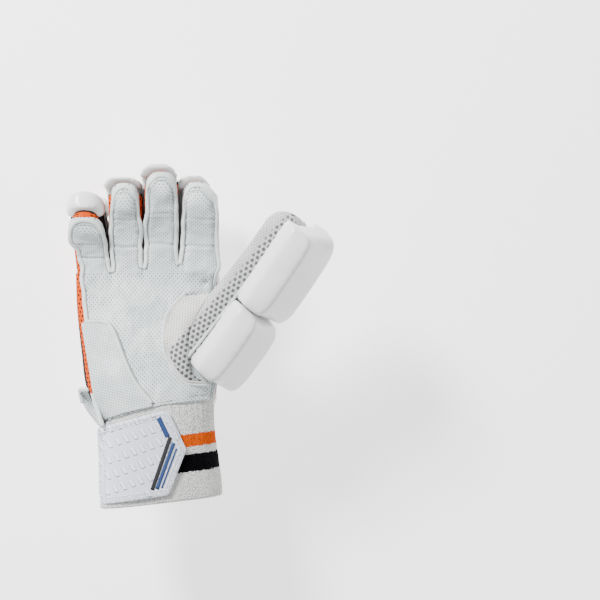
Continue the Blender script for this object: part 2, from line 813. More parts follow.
@dataclass(frozen=True)
class Skin:
    """Perforated suede that turns into light grey knit with ringed holes where the net attribute is 1."""

    name: str
    light: Color
    dark: Color

    def make(self, effects: Effects) -> bpy.types.Material:
        """Builds the material."""
        coat = Coat(self.name, effects)
        pattern = coat.pattern()
        net = coat.add("ShaderNodeAttribute", attribute_name=NET).outputs["Fac"]
        ring, rim = coat.holes(pattern, 4.2, 4.1, 1.35, 0.5)
        pore, _ = coat.holes(pattern, 2.6, 2.0, 0.42, 0.3)
        grain, tone = coat.grain(700.0, 0.5)
        suede = coat.mix(coat.range(tone, 0.36, 0.66), self.dark, self.light)
        suede = coat.mix(coat.math("MULTIPLY", pore, 0.9), suede, rgba(0.07, 0.07, 0.075))
        fibre = coat.noise(coat.place, 1500.0, 2.0)
        knit = coat.mix(fibre, rgba(0.50, 0.50, 0.51), rgba(0.64, 0.64, 0.65))
        knit = coat.mix(coat.math("MULTIPLY", rim, 0.6), knit, rgba(0.33, 0.335, 0.34))
        knit = coat.mix(ring, knit, rgba(0.075, 0.077, 0.08))
        coat.paint(coat.mix(net, suede, knit), coat.range(fibre, 0.2, 0.8, 0.9, 0.7), Sheen_Weight=0.12)
        raised = coat.math("SUBTRACT", coat.math("MULTIPLY", rim, 0.4), ring)
        low = coat.math("SUBTRACT", coat.math("MULTIPLY", grain, 0.25), pore)
        low = coat.math("MULTIPLY", coat.math("MULTIPLY", low, 0.35), coat.math("SUBTRACT", 1.0, net))
        return coat.bump(coat.math("ADD", coat.math("MULTIPLY", raised, net), low), 0.0008)


@dataclass(frozen=True)
class Band:
    """A dyed band of the towelling: where it starts and ends, its outer and its inner colour."""

    low: float
    high: float
    light: Color
    dark: Color


@dataclass(frozen=True)
class Towelling:
    """White knitted towelling with dyed bands and ragged loops at the bands' edges."""

    name: str
    bands: tuple[Band, ...]

    def make(self, effects: Effects) -> bpy.types.Material:
        """Builds the material."""
        coat = Coat(self.name, effects)
        rag = coat.noise(coat.place, 700.0, 3.0, 0.7)
        both = coat.math("ADD", rag, coat.noise(coat.place, 260.0, 2.0, 0.6))
        ragged = coat.math("MULTIPLY", coat.math("SUBTRACT", both, 1.0), 3.0)
        length = coat.math("ADD", coat.split(coat.pattern())[1], ragged)
        loops = coat.add("ShaderNodeTexVoronoi")
        coat.feed(loops.inputs["Vector"], coat.place)
        coat.feed(loops.inputs["Scale"], 780.0)
        loop = loops.outputs["Distance"]
        color = coat.mix(coat.range(loop, 0.1, 0.9), rgba(0.84, 0.835, 0.81), rgba(0.50, 0.50, 0.49))
        dyed = 0.0
        for band in self.bands:
            rise = coat.range(length, band.low - 0.3, band.low + 0.3)
            fall = coat.range(length, band.high - 0.3, band.high + 0.3, 1.0, 0.0)
            inside = coat.math("MULTIPLY", rise, fall)
            color = coat.mix(inside, color, coat.mix(loop, band.light, band.dark))
            dyed = coat.math("MAXIMUM", inside, dyed)
        coat.paint(color, coat.range(loop, 0.0, 1.0, 0.9, 1.0),
                   Sheen_Weight=coat.math("MULTIPLY", coat.math("SUBTRACT", 1.0, dyed), 0.2),
                   Specular_IOR_Level=coat.math("MULTIPLY_ADD", dyed, -0.45, 0.5))
        return coat.bump(coat.math("ADD", coat.math("MULTIPLY", loop, -1.0), rag), 0.0013)


@dataclass(frozen=True)
class StrapFace:
    """Cool white moulded strap face with a low slanted rib relief."""

    name: str
    ground: Color
    rib: Color

    def make(self, effects: Effects) -> bpy.types.Material:
        """Builds the material."""
        coat = Coat(self.name, effects)
        x, y, _ = coat.split(coat.pattern())
        slope = coat.math("ADD", x, coat.math("MULTIPLY", y, 0.6))
        cross = coat.math("SUBTRACT", y, coat.math("MULTIPLY", x, 0.35))
        dash = coat.range(coat.math("SINE", coat.math("MULTIPLY", slope, 0.75)), 0.1, 0.5)
        cut = coat.range(coat.math("SINE", coat.math("MULTIPLY", cross, 0.5)), -0.3, 0.2)
        relief = coat.math("MULTIPLY", dash, cut)
        grain, tone = coat.grain(1400.0, 0.3)
        coat.paint(coat.mix(relief, self.ground, self.rib), coat.range(tone, 0.3, 0.7, 0.42, 0.5))
        return coat.bump(coat.math("ADD", relief, coat.math("MULTIPLY", grain, 0.1)), 0.0012)


class Finishes:
    """All materials of the glove, made once."""

    def __init__(self) -> None:
        """Builds the shared node groups and the materials."""
        effects = Effects(build_lattice_group(), build_grain_group())
        white, worn = rgba(0.80, 0.815, 0.80), rgba(0.71, 0.72, 0.71)
        bands = (Band(11.0, 21.4, rgba(0.78, 0.12, 0.0), rgba(0.5, 0.045, 0.0)),
                 Band(27.4, 41.5, rgba(0.002, 0.002, 0.003), rgba(0.0005, 0.0005, 0.001)))
        self.palm = Leather("palm leather", rgba(0.66, 0.71, 0.72),
                            rgba(0.53, 0.585, 0.59), holes=True).make(effects)
        self.binding = Leather("binding leather", rgba(0.68, 0.71, 0.71),
                               rgba(0.57, 0.60, 0.60)).make(effects)
        self.suede = Leather("web suede", rgba(0.64, 0.63, 0.60),
                             rgba(0.54, 0.53, 0.50), rough=0.8).make(effects)
        self.pad = Coated("pad leather", white, 0.3).make(effects)
        self.roll = Striped("striped pad leather", white, worn, rgba(0.82, 0.14, 0.0)).make(effects)
        self.red = Coated("red pad leather", rgba(0.9, 0.045, 0.012), 0.33).make(effects)
        self.side_net = SideNet("finger side mesh", rgba(0.014, 0.013, 0.014),
                                rgba(0.52, 0.05, 0.0), rgba(0.66, 0.085, 0.0)).make(effects)
        self.thumb_skin = Skin("thumb leather and mesh", rgba(0.52, 0.515, 0.535),
                               rgba(0.43, 0.425, 0.445)).make(effects)
        self.web_skin = Skin("web suede and mesh", rgba(0.65, 0.64, 0.60),
                             rgba(0.55, 0.54, 0.51)).make(effects)
        self.lining = Thread("white lining", rgba(0.62, 0.62, 0.61)).make(effects)
        self.towel = Towelling("cuff towelling", bands).make(effects)
        self.strap = StrapFace("strap face", rgba(0.66, 0.69, 0.79), rgba(0.84, 0.86, 0.93)).make(effects)
        self.stitch = Thread("stitching thread", rgba(0.63, 0.65, 0.64)).make(effects)
        self.seam = Thread("sunk seam thread", rgba(0.30, 0.32, 0.32)).make(effects)
        self.blue = Coated("blue print", rgba(0.004, 0.032, 0.13), 0.6).make(effects)
        self.print_black = Coated("black print", rgba(0.002, 0.002, 0.004), 0.7).make(effects)


# Shapes that several pieces share


def ripple(points: np.ndarray, size: float, seed: float, octaves: int = 2) -> np.ndarray:
    """Smooth noise between -1 and 1 at each point, with its widest waves of the given size."""
    flat = points.reshape(-1, 3)
    out = np.zeros(len(flat))
    for octave in range(octaves):
        step = size / 2**octave
        spots = flat / step + seed * (octave + 1.7)
        out += np.array([noise.noise(Vector(spot)) for spot in spots]) / 2**octave
    return out.reshape(points.shape[:-1])


def rounded(ratio: np.ndarray | float, power: float) -> np.ndarray:
    """Height of a squared arc, 1 over its middle and 0 at ratio -1 and 1."""
    inside = np.clip(np.abs(np.asarray(ratio, float)), 0, 1)
    return (1 - inside**power) ** (1 / power)


def squared(angle: np.ndarray, power: float) -> tuple[np.ndarray, np.ndarray]:
    """Cosine and sine of a squared circle."""
    cos, sin = np.cos(angle), np.sin(angle)
    return (np.sign(cos) * np.abs(cos) ** (2 / power), np.sign(sin) * np.abs(sin) ** (2 / power))


def piece_done(piece: bpy.types.Object, slot: str, *nodes: str) -> None:
    """Puts a finished piece on the glove's body, in place of CAD nodes, and names its slot."""
    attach(piece, "root")
    if nodes:
        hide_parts(*nodes)
    LOG.info("%s: %d faces", piece.name, len(piece.data.polygons))


def smooth_curve(corners: Sequence[Sequence[float]], count: int) -> np.ndarray:
    """Points of a smooth curve through corners, flat or in space."""
    points = np.array(corners, float)
    shares = np.linspace(0, 1, len(points))
    t = np.linspace(0, 1, count)
    return np.stack([along({"share": shares, "place": column}, "place", t) for column in points.T], -1)


def round_turns(count: int) -> np.ndarray:
    """One row of even turns round a section."""
    return ((np.arange(count) + 0.5) / count * 2 * math.pi)[None, :]


def closed_form(points: np.ndarray) -> Grid:
    """A closed form of rings of points, whose pattern is laid later."""
    rows, around = points.shape[:2]
    return Grid(points, np.zeros((rows, around + 1, 2)), Close.RING, caps=True)


def pad_steps(start: float, end: float, rows: int, reach: float) -> tuple[np.ndarray, np.ndarray]:
    """Places of a pad's sections, closer towards its ends, and the same places from -1 to 1.

    Args:
        start: Where the pad starts.
        end: Where it ends.
        rows: Number of its sections.
        reach: Share of a half turn that the steps follow, under 1 so that the ends don't close to a point.

    Returns:
        The places and their shares.
    """
    tau = np.sin(np.linspace(-math.pi / 2 * reach, math.pi / 2 * reach, rows))
    return (start + end) / 2 + (end - start) / 2 * tau, tau


@dataclass
class Stitching:
    """A row of thread stitches that lie along a path: their length, gap and thickness in millimetres."""

    length: float = 2.4
    gap: float = 1.1
    radius: float = 0.36

    def tree(self, thread: bpy.types.Material) -> bpy.types.NodeTree:
        """Node tree that lays rounded stitches along a curve.

        Args:
            thread: The stitches' finish.

        Returns:
            The geometry node tree, with inputs for the stitches' pitch, length and radius.
        """
        tree = bpy.data.node_groups.new("Stitch row", "GeometryNodeTree")
        tree.interface.new_socket("Geometry", in_out="INPUT", socket_type="NodeSocketGeometry")
        for label, value in (("Pitch", 0.0035), ("Length", 0.0024), ("Radius", 0.00036)):
            tree.interface.new_socket(label, in_out="INPUT", socket_type=FLOAT).default_value = value
        tree.interface.new_socket("Geometry", in_out="OUTPUT", socket_type="NodeSocketGeometry")
        nodes = Tree(tree)
        start, end = nodes.add("NodeGroupInput"), nodes.add("NodeGroupOutput")
        rows = nodes.add("GeometryNodeResampleCurve", mode="LENGTH")
        nodes.feed(rows.inputs["Curve"], start.outputs["Geometry"])
        nodes.feed(rows.inputs["Length"], start.outputs["Pitch"])
        bead = nodes.add("GeometryNodeMeshUVSphere")
        bead.inputs["Segments"].default_value = 6
        bead.inputs["Rings"].default_value = 5
        bead.inputs["Radius"].default_value = 1.0
        tangent = nodes.add("GeometryNodeInputTangent")
        turn = nodes.add("FunctionNodeAlignRotationToVector", axis="Z")
        nodes.feed(turn.inputs["Vector"], tangent.outputs[0])
        place = nodes.add("GeometryNodeInstanceOnPoints")
        nodes.feed(place.inputs["Points"], rows.outputs[0])
        nodes.feed(place.inputs["Instance"], bead.outputs["Mesh"])
        nodes.feed(place.inputs["Rotation"], turn.outputs[0])
        size = nodes.add("ShaderNodeCombineXYZ")
        nodes.feed(size.inputs[0], start.outputs["Radius"])
        nodes.feed(size.inputs[1], start.outputs["Radius"])
        nodes.feed(size.inputs[2], nodes.math("MULTIPLY", start.outputs["Length"], 0.5))
        nodes.feed(place.inputs["Scale"], size.outputs[0])
        real = nodes.add("GeometryNodeRealizeInstances")
        nodes.feed(real.inputs[0], place.outputs[0])
        dress = nodes.add("GeometryNodeSetMaterial")
        dress.inputs["Material"].default_value = thread
        nodes.feed(dress.inputs["Geometry"], real.outputs[0])
        nodes.feed(end.inputs[0], dress.outputs[0])
        return tree

    def sew(self, name: str, paths: Sequence[np.ndarray], thread: bpy.types.Material) -> bpy.types.Object:
        """Lays stitches along several paths, in millimetres, as one mesh."""
        data = bpy.data.curves.new(name, "CURVE")
        data.dimensions = "3D"
        for path in paths:
            spline = data.splines.new("POLY")
            spline.points.add(len(path) - 1)
            spots = np.concatenate([(path + SHIFT) * MM, np.ones((len(path), 1))], axis=1)
            spline.points.foreach_set("co", spots.ravel())
        row = bpy.data.objects.new(name, data)
        bpy.context.collection.objects.link(row)
        sewing = row.modifiers.new("stitches", "NODES")
        sewing.node_group = self.tree(thread)
        sizes = {"Pitch": self.length + self.gap, "Length": self.length, "Radius": self.radius}
        for item in sewing.node_group.interface.items_tree:
            if item.in_out == "INPUT" and item.name in sizes:
                sewing[item.identifier] = sizes[item.name] * MM
        depsgraph = bpy.context.evaluated_depsgraph_get()
        mesh = bpy.data.meshes.new_from_object(row.evaluated_get(depsgraph), depsgraph=depsgraph)
        piece = bpy.data.objects.new(name, mesh)
        bpy.context.collection.objects.link(piece)
        bpy.data.objects.remove(row)
        bpy.data.curves.remove(data)
        if not mesh.materials:
            mesh.materials.append(thread)
        for face in mesh.polygons:
            face.use_smooth = True
        return piece


# Palm leather with the fronts of the four fingers


@dataclass
class PalmLeather:
    """One continuous leather panel over the palm and the fingers' fronts, with folded edges."""

    finishes: Finishes
    wall: float = 1.4
    step: float = 1.6
    columns: int = 28
    blend: tuple[float, float] = (-18.0, 5.0)
    crotches: tuple[float, float, float] = (1.5, 6.3, 9.0)
    edge_height: float = 0.88
    insets: dict = field(default_factory=lambda: {"little": (-0.4, -1.2), "ring": (0.3, 3.4), "middle": (0.1, 2.2),
                                                  "index": (0.9, 1.1)})
    ulnar_inset: float = 4.6
    radial_push: float = 6.0
    ulnar_ratio: float = 0.9
    hem: dict = field(default_factory=lambda: {"share": (-56.0, -40.0, -21.6, 3.9, 25.0, 54.4),
                                               "rise": (-5.5, -4.0, 1.0, 3.8, 2.2, -0.6)})
    piping: float = 1.8
    tip_reach: float = 1.35
    tip_heights: dict = field(default_factory=lambda: {"little": 0.5, "ring": 0.3, "middle": 0.36,
                                                       "index": 0.34})
    tip_falls: dict = field(default_factory=lambda: {"little": (24, 0), "ring": (36, 12), "middle": (36, 12),
                                                     "index": (34, 12)})
    short: dict = field(default_factory=lambda: {"little": 0.0, "ring": 8.0, "middle": 0.0, "index": 0.0})
    creases: dict = field(default_factory=lambda: {
        "little": (24.0, 47.0), "ring": (30.0, 62.0), "middle": (31.0, 66.0), "index": (28.0, 58.0),
    })
    shared_end: float = 16.0
    edges: dict = field(default_factory=dict)

    def __post_init__(self) -> None:
        """Orders the fingers from the outer side of the palm and shares the palm's width among them."""
        self.order = tuple(reversed(FORM.fingers))
        size = FORM.hand_size(1.0)
        middle, half = hand_span(size)
        sides = [-self.ulnar_ratio]
        for near, far in zip(self.order, self.order[1:]):
            line = (near.base_x + near.base_half + far.base_x - far.base_half) / 2
            sides.append(float((line - middle) / half))
        sides.append(1.0)
        power = size["palm_curve"]
        self.turns = [math.acos(-math.copysign(abs(side) ** (power / 2), side)) / math.pi for side in sides]

    @property
    def shared(self) -> np.ndarray:
        """Lengths of the rows that all strips share, from the wrist to past the last crotch."""
        return np.arange(-FORM.palm_length, self.shared_end, self.step)

    def palm_point(self, turn: np.ndarray, s: np.ndarray) -> np.ndarray:
        """Points of the palm's dome at turns from 0, the outer side, to 1, at lengths from the knuckles."""
        share = np.clip(1 + s / FORM.palm_length, 0, 1)
        size = FORM.hand_size(share)
        middle, half = hand_span(size)
        cos, sin = -np.cos(math.pi * turn), np.sin(math.pi * turn)
        x = middle + half * np.sign(cos) * np.abs(cos) ** (2 / size["palm_curve"])
        z = size["seam"] + (size["front"] - size["seam"]) * np.abs(sin) ** (2 / size["palm_curve"])
        y = slanted(share, x)
        y = y + along(self.hem, "rise", x) * (1 - share) ** 5 * ease(-0.2, 0.5, sin)
        return np.stack([x, y + np.clip(s, 0, None), z], -1)

    def tip_share(self, finger: Finger, s: np.ndarray) -> np.ndarray:
        """How far a length lies into the rounding of the fingertip, from 0 to 1."""
        start, reach = self.tip_start(finger)
        return np.clip((s - start) / reach, 0, 1)

    def tip_start(self, finger: Finger) -> tuple[float, float]:
        """Where the rounding of a fingertip starts and how long it is."""
        reach = self.tip_reach * finger.tip_half
        return finger.length - self.short[finger.name] - reach, reach

    def finger_point(self, finger: Finger, turn: np.ndarray, s: np.ndarray, inner: np.ndarray) -> np.ndarray:
        """Points of a finger's front at turns from 0 to 1 across it.

        Args:
            finger: The finger.
            turn: Turn across the front.
            s: Length from the knuckles.
            inner: How far the sides are lowered, from 0 to 1.

        Returns:
            The points.
        """
        place = s / finger.length
        deep = FORM.stall_depth(place)
        half = FORM.lane_half(finger, place) - 0.25 - self.inset(finger, s)
        cos = -np.cos(math.pi * turn)
        across = np.sign(cos) * np.abs(cos) ** (2 / 3.0)
        tip = self.tip_share(finger, s)
        x = across * half * self.outline(finger, s) + self.outer_pull(finger, s) * (1 - across) / 2
        x = x + self.outer_push(finger, s) * (1 + across) / 2
        edge = self.edge(finger, s)
        fall = (1 - edge) * (1 - rounded(np.abs(across) + 0 * tip, 2.6) * (1 - tip**3)) * inner
        groove = np.exp(-(((1 - np.abs(across)) * half - 3.2) / 0.9) ** 2) * inner * ease(0.0, 8.0, s)
        groove = groove * (1 - ease(0.1, 0.7, tip))
        return FORM.lane_point(finger, place, x, deep * (1 - fall) - groove)

    def edge(self, finger: Finger, s: np.ndarray) -> np.ndarray:
        """Height of the leather's edge as a share of the finger's depth, lower towards the fingertip."""
        end = finger.length - self.short[finger.name]
        first, last = self.tip_falls[finger.name]
        fall = ease(end - first, end - last, s)
        return self.edge_height + (self.tip_heights[finger.name] - self.edge_height) * fall

    def outline(self, finger: Finger, s: np.ndarray) -> np.ndarray:
        """Width of the leather as a share of its full width, which makes the fingertip round."""
        return rounded(self.tip_share(finger, s), 2.6)

    def inset(self, finger: Finger, s: np.ndarray) -> np.ndarray:
        """How far the leather's edge lies inside its lane."""
        base, tip = self.insets[finger.name]
        return base + (tip - base) * ease(0.4, 0.78, s / finger.length)

    def outer_push(self, finger: Finger, s: np.ndarray) -> np.ndarray:
        """How far the index finger's outer edge lies over the side pads."""
        if finger.name != "index":
            return np.zeros_like(s)
        return self.radial_push * ease(-16, 8, s) * (1 - ease(finger.length - 26, finger.length, s))

    def outer_pull(self, finger: Finger, s: np.ndarray) -> np.ndarray:
        """How far the little finger's outer edge is drawn in, so that its net side shows."""
        if finger.name != "little":
            return np.zeros_like(s)
        wave = 0.9 * np.sin(s / 5.2)
        return (self.ulnar_inset + wave) * ease(-14, 4, s) * (1 - ease(30, 50, s))

    def strip(self, index: int, s: np.ndarray) -> np.ndarray:
        """Points of one finger's strip, from the wrist to its tip, before neighbours are joined."""
        finger = self.order[index]
        share = np.linspace(0, 1, self.columns + 1)[None, :]
        length = s[:, None]
        start, end = self.turns[index:index + 2]
        palm = self.palm_point(start + (end - start) * share, length)
        sides = []
        for side, near in ((0, index - 1), (1, index)):
            outer = near < 0 or near >= len(self.crotches)
            sides.append(1.0 if outer else ease(-16, self.crotches[near] + 9, length))
        inner = sides[0] * (1 - share) + sides[1] * share
        front = self.finger_point(finger, share, length, inner)
        weight = ease(*self.blend, length)[..., None]
        return palm * (1 - weight) + front * weight

    def rows(self, finger: Finger) -> np.ndarray:
        """Lengths of a strip's rows, the same for all fingers up to past the last crotch."""
        shared = self.shared
        start, reach = self.tip_start(finger)
        straight = np.linspace(shared[-1], start, int((start - shared[-1]) / self.step) + 1)[1:]
        turn = np.linspace(0, math.pi / 2 * 0.985, 13)[1:]
        return np.concatenate([shared, straight, start + reach * np.sin(turn)])

    def strips(self) -> list[tuple[np.ndarray, np.ndarray]]:
        """All strips with neighbouring sides joined up to the crotches: lengths and points of each."""
        lengths = [self.rows(finger) for finger in self.order]
        grids = [self.strip(index, s) for index, s in enumerate(lengths)]
        count = len(self.shared)
        fade = np.linspace(0, 1, self.columns + 1) ** 3
        for index, crotch in enumerate(self.crotches):
            s = lengths[index][:count]
            left, right = grids[index][:count, -1].copy(), grids[index + 1][:count, 0].copy()
            middle = (left + right) / 2
            joined = (1 - ease(crotch, crotch + 4, s))[:, None]
            grids[index][:count] += ((middle - left) * joined)[:, None] * fade[None, :, None]
            grids[index + 1][:count] += ((middle - right) * joined)[:, None] * fade[None, ::-1, None]
        return list(zip(lengths, grids))

    def relief(self, finger: Finger, s: np.ndarray, points: np.ndarray) -> np.ndarray:
        """How far the leather stands in or out: crinkles, folds at the joints and soft hollows."""
        lift = 1.2 * ripple(points, 24.0, 3.1) + 0.8 * ripple(points, 9.0, 8.4)
        lift = lift + 0.32 * ripple(points, 3.6, 5.2)
        x, y = points[..., 0], points[..., 1]
        crumple = np.exp(-(((x - 39) / 12) ** 2) - ((y - 112) / 13) ** 2)
        lift = lift + crumple * (3.2 * ripple(points, 8.0, 2.7) + 1.2 * ripple(points, 4.0, 1.9))
        fold = np.exp(-(((x - 28.5) / 6.0) ** 4)) * (y < 112)
        lift = lift - 2.0 * fold * np.exp(-(((y - 99.0) / 1.1) ** 2))
        lift = lift + 0.9 * fold * np.exp(-(((y - 102.2) / 1.6) ** 2))
        for place, deep, width in zip(self.creases[finger.name], (1.5, 0.9), (1.5, 1.3)):
            sway = 1.6 * ripple(points, 14.0, 1.3 + place, 1)
            lift = lift - deep * np.exp(-(((s[:, None] - place + sway) / width) ** 2))
            lift = lift + 0.5 * np.exp(-(((s[:, None] - place + sway) / (3.2 * width)) ** 2))
        return lift * (1 - ease(0.45, 0.95, self.tip_share(finger, s)))[:, None]

    def build(self) -> None:
        """Makes the panel and its edges, in place of the palm shell and the fronts of the finger stalls."""
        grids = []
        count = len(self.shared)
        for index, (s, points) in enumerate(self.strips()):
            finger = self.order[index]
            lift = self.relief(finger, s, points)
            moved = points + upper_normals(points) * lift[..., None]
            if index:
                joined = s[:count] < self.crotches[index - 1]
                moved[:count, 0][joined] = grids[-1].points[:count, -1][joined]
            grids.append(Grid(moved, np.stack(np.broadcast_arrays(points[..., 0], s[:, None]), -1)))
            first = np.searchsorted(s, self.crotches[index - 1]) - 1 if index else 0
            last = np.searchsorted(s, self.crotches[index]) - 1 if index < 3 else 0
            self.edges[finger.name] = (s, moved, first, last)
        panel = mesh_from("palm_leather", grids, self.finishes.palm, weld=0.02)
        thicken(panel, self.wall)
        nodes = ["palm_shell"] + [finger.name + "_stall_front" for finger in FORM.fingers]
        piece_done(panel, "palm_leather", *nodes)
        self.piped()

    def piped(self) -> None:
        """Makes the folded edges round the fingers and along the sides of the palm, each with a sunk seam."""
        bands, lines = [], []
        kinds = ((1.3, 0.35, self.piping, 0.5, bands), (0.5, -0.3, 1.0, 0.9, bands),
                 (3.3, 0.05, 0.36, 1.0, lines))
        for edge in self.edges.values():
            for distance, rise, radius, flat, kept in kinds:
                path, normal = self.inset_line(*edge, distance)
                for _ in range(4):
                    path[1:-1] = (path[:-2] + 2 * path[1:-1] + path[2:]) / 4
                    normal[1:-1] = (normal[:-2] + 2 * normal[1:-1] + normal[2:]) / 4
                keep = np.concatenate([[True], np.linalg.norm(np.diff(path, axis=0), axis=1) > 0.25])
                path, normal = path[keep], normal[keep]
                kept.append(tube_grid(path + normal * rise, radius, flat=flat, sides=10, up=normal))
        piece_done(mesh_from("folded_edges", bands, self.finishes.binding), "palm_leather")
        piece_done(mesh_from("folded_edge_seams", lines, self.finishes.seam), "palm_leather")

    def inset_line(self, s: np.ndarray, moved: np.ndarray, first: int, last: int,
                   distance: float) -> tuple[np.ndarray, np.ndarray]:
        """Lays a line on a finger's leather at a distance inside its boundary.

        Args:
            s: Lengths of the strip's rows.
            moved: The strip's points.
            first: Row where the boundary starts on the left.
            last: Row where it ends on the right.
            distance: Distance from the boundary, in millimetres.

        Returns:
            The line's points and the leather's normals there.
        """
        left = np.stack([moved[first:, 0, 0], s[first:]], -1)
        right = np.stack([moved[last:, -1, 0], s[last:]], -1)[::-1]
        border = np.vstack([left, right])
        keep = np.concatenate([[True], np.linalg.norm(np.diff(border, axis=0), axis=1) > 0.2])
        border = border[keep]
        run = np.gradient(border, axis=0)
        run /= np.maximum(np.linalg.norm(run, axis=1, keepdims=True), 1e-9)
        spots = border + np.stack([run[:, 1], -run[:, 0]], -1) * distance
        both = np.concatenate([moved, upper_normals(moved)], axis=-1)
        row = np.clip(np.interp(spots[:, 1], s, np.arange(len(s))), 0, len(s) - 1.001)
        found = np.zeros((len(spots), 6))
        for k, place in enumerate(row):
            low, share = int(place), place - int(place)
            for line, weight in ((both[low], 1 - share), (both[low + 1], share)):
                spot = [np.interp(spots[k, 0], line[:, 0], line[:, c]) for c in range(6)]
                found[k] += weight * np.array(spot)
        return found[:, :3], found[:, 3:]


# Mesh side walls of the fingers and of the hand


@dataclass
class SideWalls:
    """Net walls between the leather front and the padding: round each finger and along the hand."""

    finishes: Finishes
    palm: PalmLeather
    wall: float = 1.0

    def finger_wall(self, finger: Finger) -> Grid:
        """The wall round one finger, from the fold of its leather down to its padding."""
        s = self.palm.rows(finger)
        s = s[s > -6.0]
        tip = self.palm.tip_share(finger, s)
        edge = self.palm.edge(finger, s)
        lift = 0.1 + 0.45 * self.palm.short[finger.name] * ease(0.75, 0.92, s / finger.length)
        place = s / finger.length
        deep = FORM.stall_depth(place)
        half = (FORM.lane_half(finger, place) - 0.4) * self.palm.outline(finger, s)
        rows = []
        pattern = []
        drops = np.linspace(0, 1, 11)
        retreat = 0.0 if finger.name == "little" else math.tan(math.radians(finger.bend)) + 0.15
        run = np.concatenate([[0], np.cumsum(np.diff(s))])
        for side in (-1, 1):
            points, spots = [], []
            for drop in drops:
                out = edge * deep * (1 - drop) + 0.2 + lift * drop
                pull = self.palm.outer_pull(finger, s) if side < 0 else 0.0
                lean = np.clip(self.palm.inset(finger, s) + pull, 0, None) * (1 - ease(0, 0.35, drop))
                lean = lean + (1.8 if finger.name == "little" else 3.0) * ease(0, 0.5, tip) + 0.6
                back = retreat * edge * deep * drop * ease(0, 0.6, tip) / finger.length
                across = side * np.clip(half - lean, 0, None)
                points.append(FORM.lane_point(finger, place - back, across, out))
                tall = float((edge * deep).mean())
                spots.append(np.stack([np.full(len(s), drop * tall - 4.4), run * side], -1))
            stack, marks = np.array(points), np.array(spots)
            rows.append(stack if side < 0 else stack[:, ::-1])
            pattern.append(marks if side < 0 else marks[:, ::-1])
        return Grid(np.concatenate(rows, axis=1), np.concatenate(pattern, axis=1))

    def hand_wall(self, side: int) -> Grid:
        """The net strip along one side of the hand: -1 the outer side, 1 the thumb side."""
        s = np.arange(-FORM.palm_length + 0.5, 3.0, 2.0)
        share = np.clip(1 + s / FORM.palm_length, 0, 1)[None, :]
        size = FORM.hand_size(share)
        middle, half = hand_span(size)
        start = math.acos(self.palm.ulnar_ratio ** (3.2 / 2)) if side < 0 else 0.12
        turn = np.concatenate([np.linspace(start + 0.06, 0, 7)[:-1], np.linspace(0, -1.15, 12)])[:, None]
        power = np.where(turn > 0, size["palm_curve"], size["back_curve"])
        cos, sin = np.cos(turn), np.sin(turn)
        x = middle + side * (half - 0.4) * np.abs(cos) ** (2 / power)
        reach = np.where(turn > 0, size["front"] - size["seam"], size["seam"] - size["back"])
        z = size["seam"] + reach * np.sign(sin) * np.abs(sin) ** (2 / power)
        y = slanted(share, x)
        points = np.stack(np.broadcast_arrays(x, y, z), -1)
        gaps = np.linalg.norm(np.diff(points, axis=0), axis=-1)
        depth = np.concatenate([np.zeros((1, len(s))), np.cumsum(gaps, axis=0)])
        pattern = np.stack(np.broadcast_arrays(depth - 7.0, s[None, :] * side), -1)
        return Grid(points, pattern)

    def build(self) -> None:
        """Makes all side walls, in place of the backs of the stalls and the hand's strips."""
        for finger in FORM.fingers:
            walls = [self.finger_wall(finger)]
            wall = mesh_from(finger.name + "_side_mesh", walls, self.finishes.side_net, weld=0.02)
            thicken(wall, self.wall)
            piece_done(wall, "orange_mesh", finger.name + "_stall_back")
        for side, name in ((-1, "ulnar"), (1, "radial")):
            wall = mesh_from(name + "_mesh", [self.hand_wall(side)], self.finishes.side_net)
            thicken(wall, self.wall)
            piece_done(wall, "orange_mesh", name + "_strip")


# Padding: bars, blocks and rolls on the back, small side pads and the thumb's pads


@dataclass(frozen=True)
class Segment:
    """One pad of a lane: its place, its depths at both ends as shares of the roll's, and its squareness."""

    name: str
    start: float
    end: float
    first: float
    last: float
    square: float


SEGMENTS = (
    Segment("wrist_block", -0.98, -0.5, 1.0, 1.0, 5.0),
    Segment("knuckle_block", -0.49, -0.31, 0.94, 0.94, 4.0),
    Segment("knuckle_roll", -0.3, 0.1, 1.0, 1.0, 3.4),
    Segment("middle_roll", 0.11, 0.47, 0.86, 0.66, 3.2),
    Segment("tip_roll", 0.48, 0.8, 0.6, 0.42, 3.0),
)


def lane_coordinates(finger: Finger, points: np.ndarray) -> tuple[np.ndarray, np.ndarray]:
    """How far points lie across a lane and along it from the knuckle."""
    bend = math.radians(finger.bend)
    radius = finger.length / bend
    y = points[..., 1] - FORM.knuckle
    angle = np.arctan2(np.clip(y, 0, None), FORM.floor + radius - points[..., 2])
    place = np.where(y < 0, y / FORM.palm_length, angle / bend)
    return points[..., 0] - FORM.lane(finger, place)[0], np.where(y < 0, y, angle * radius)


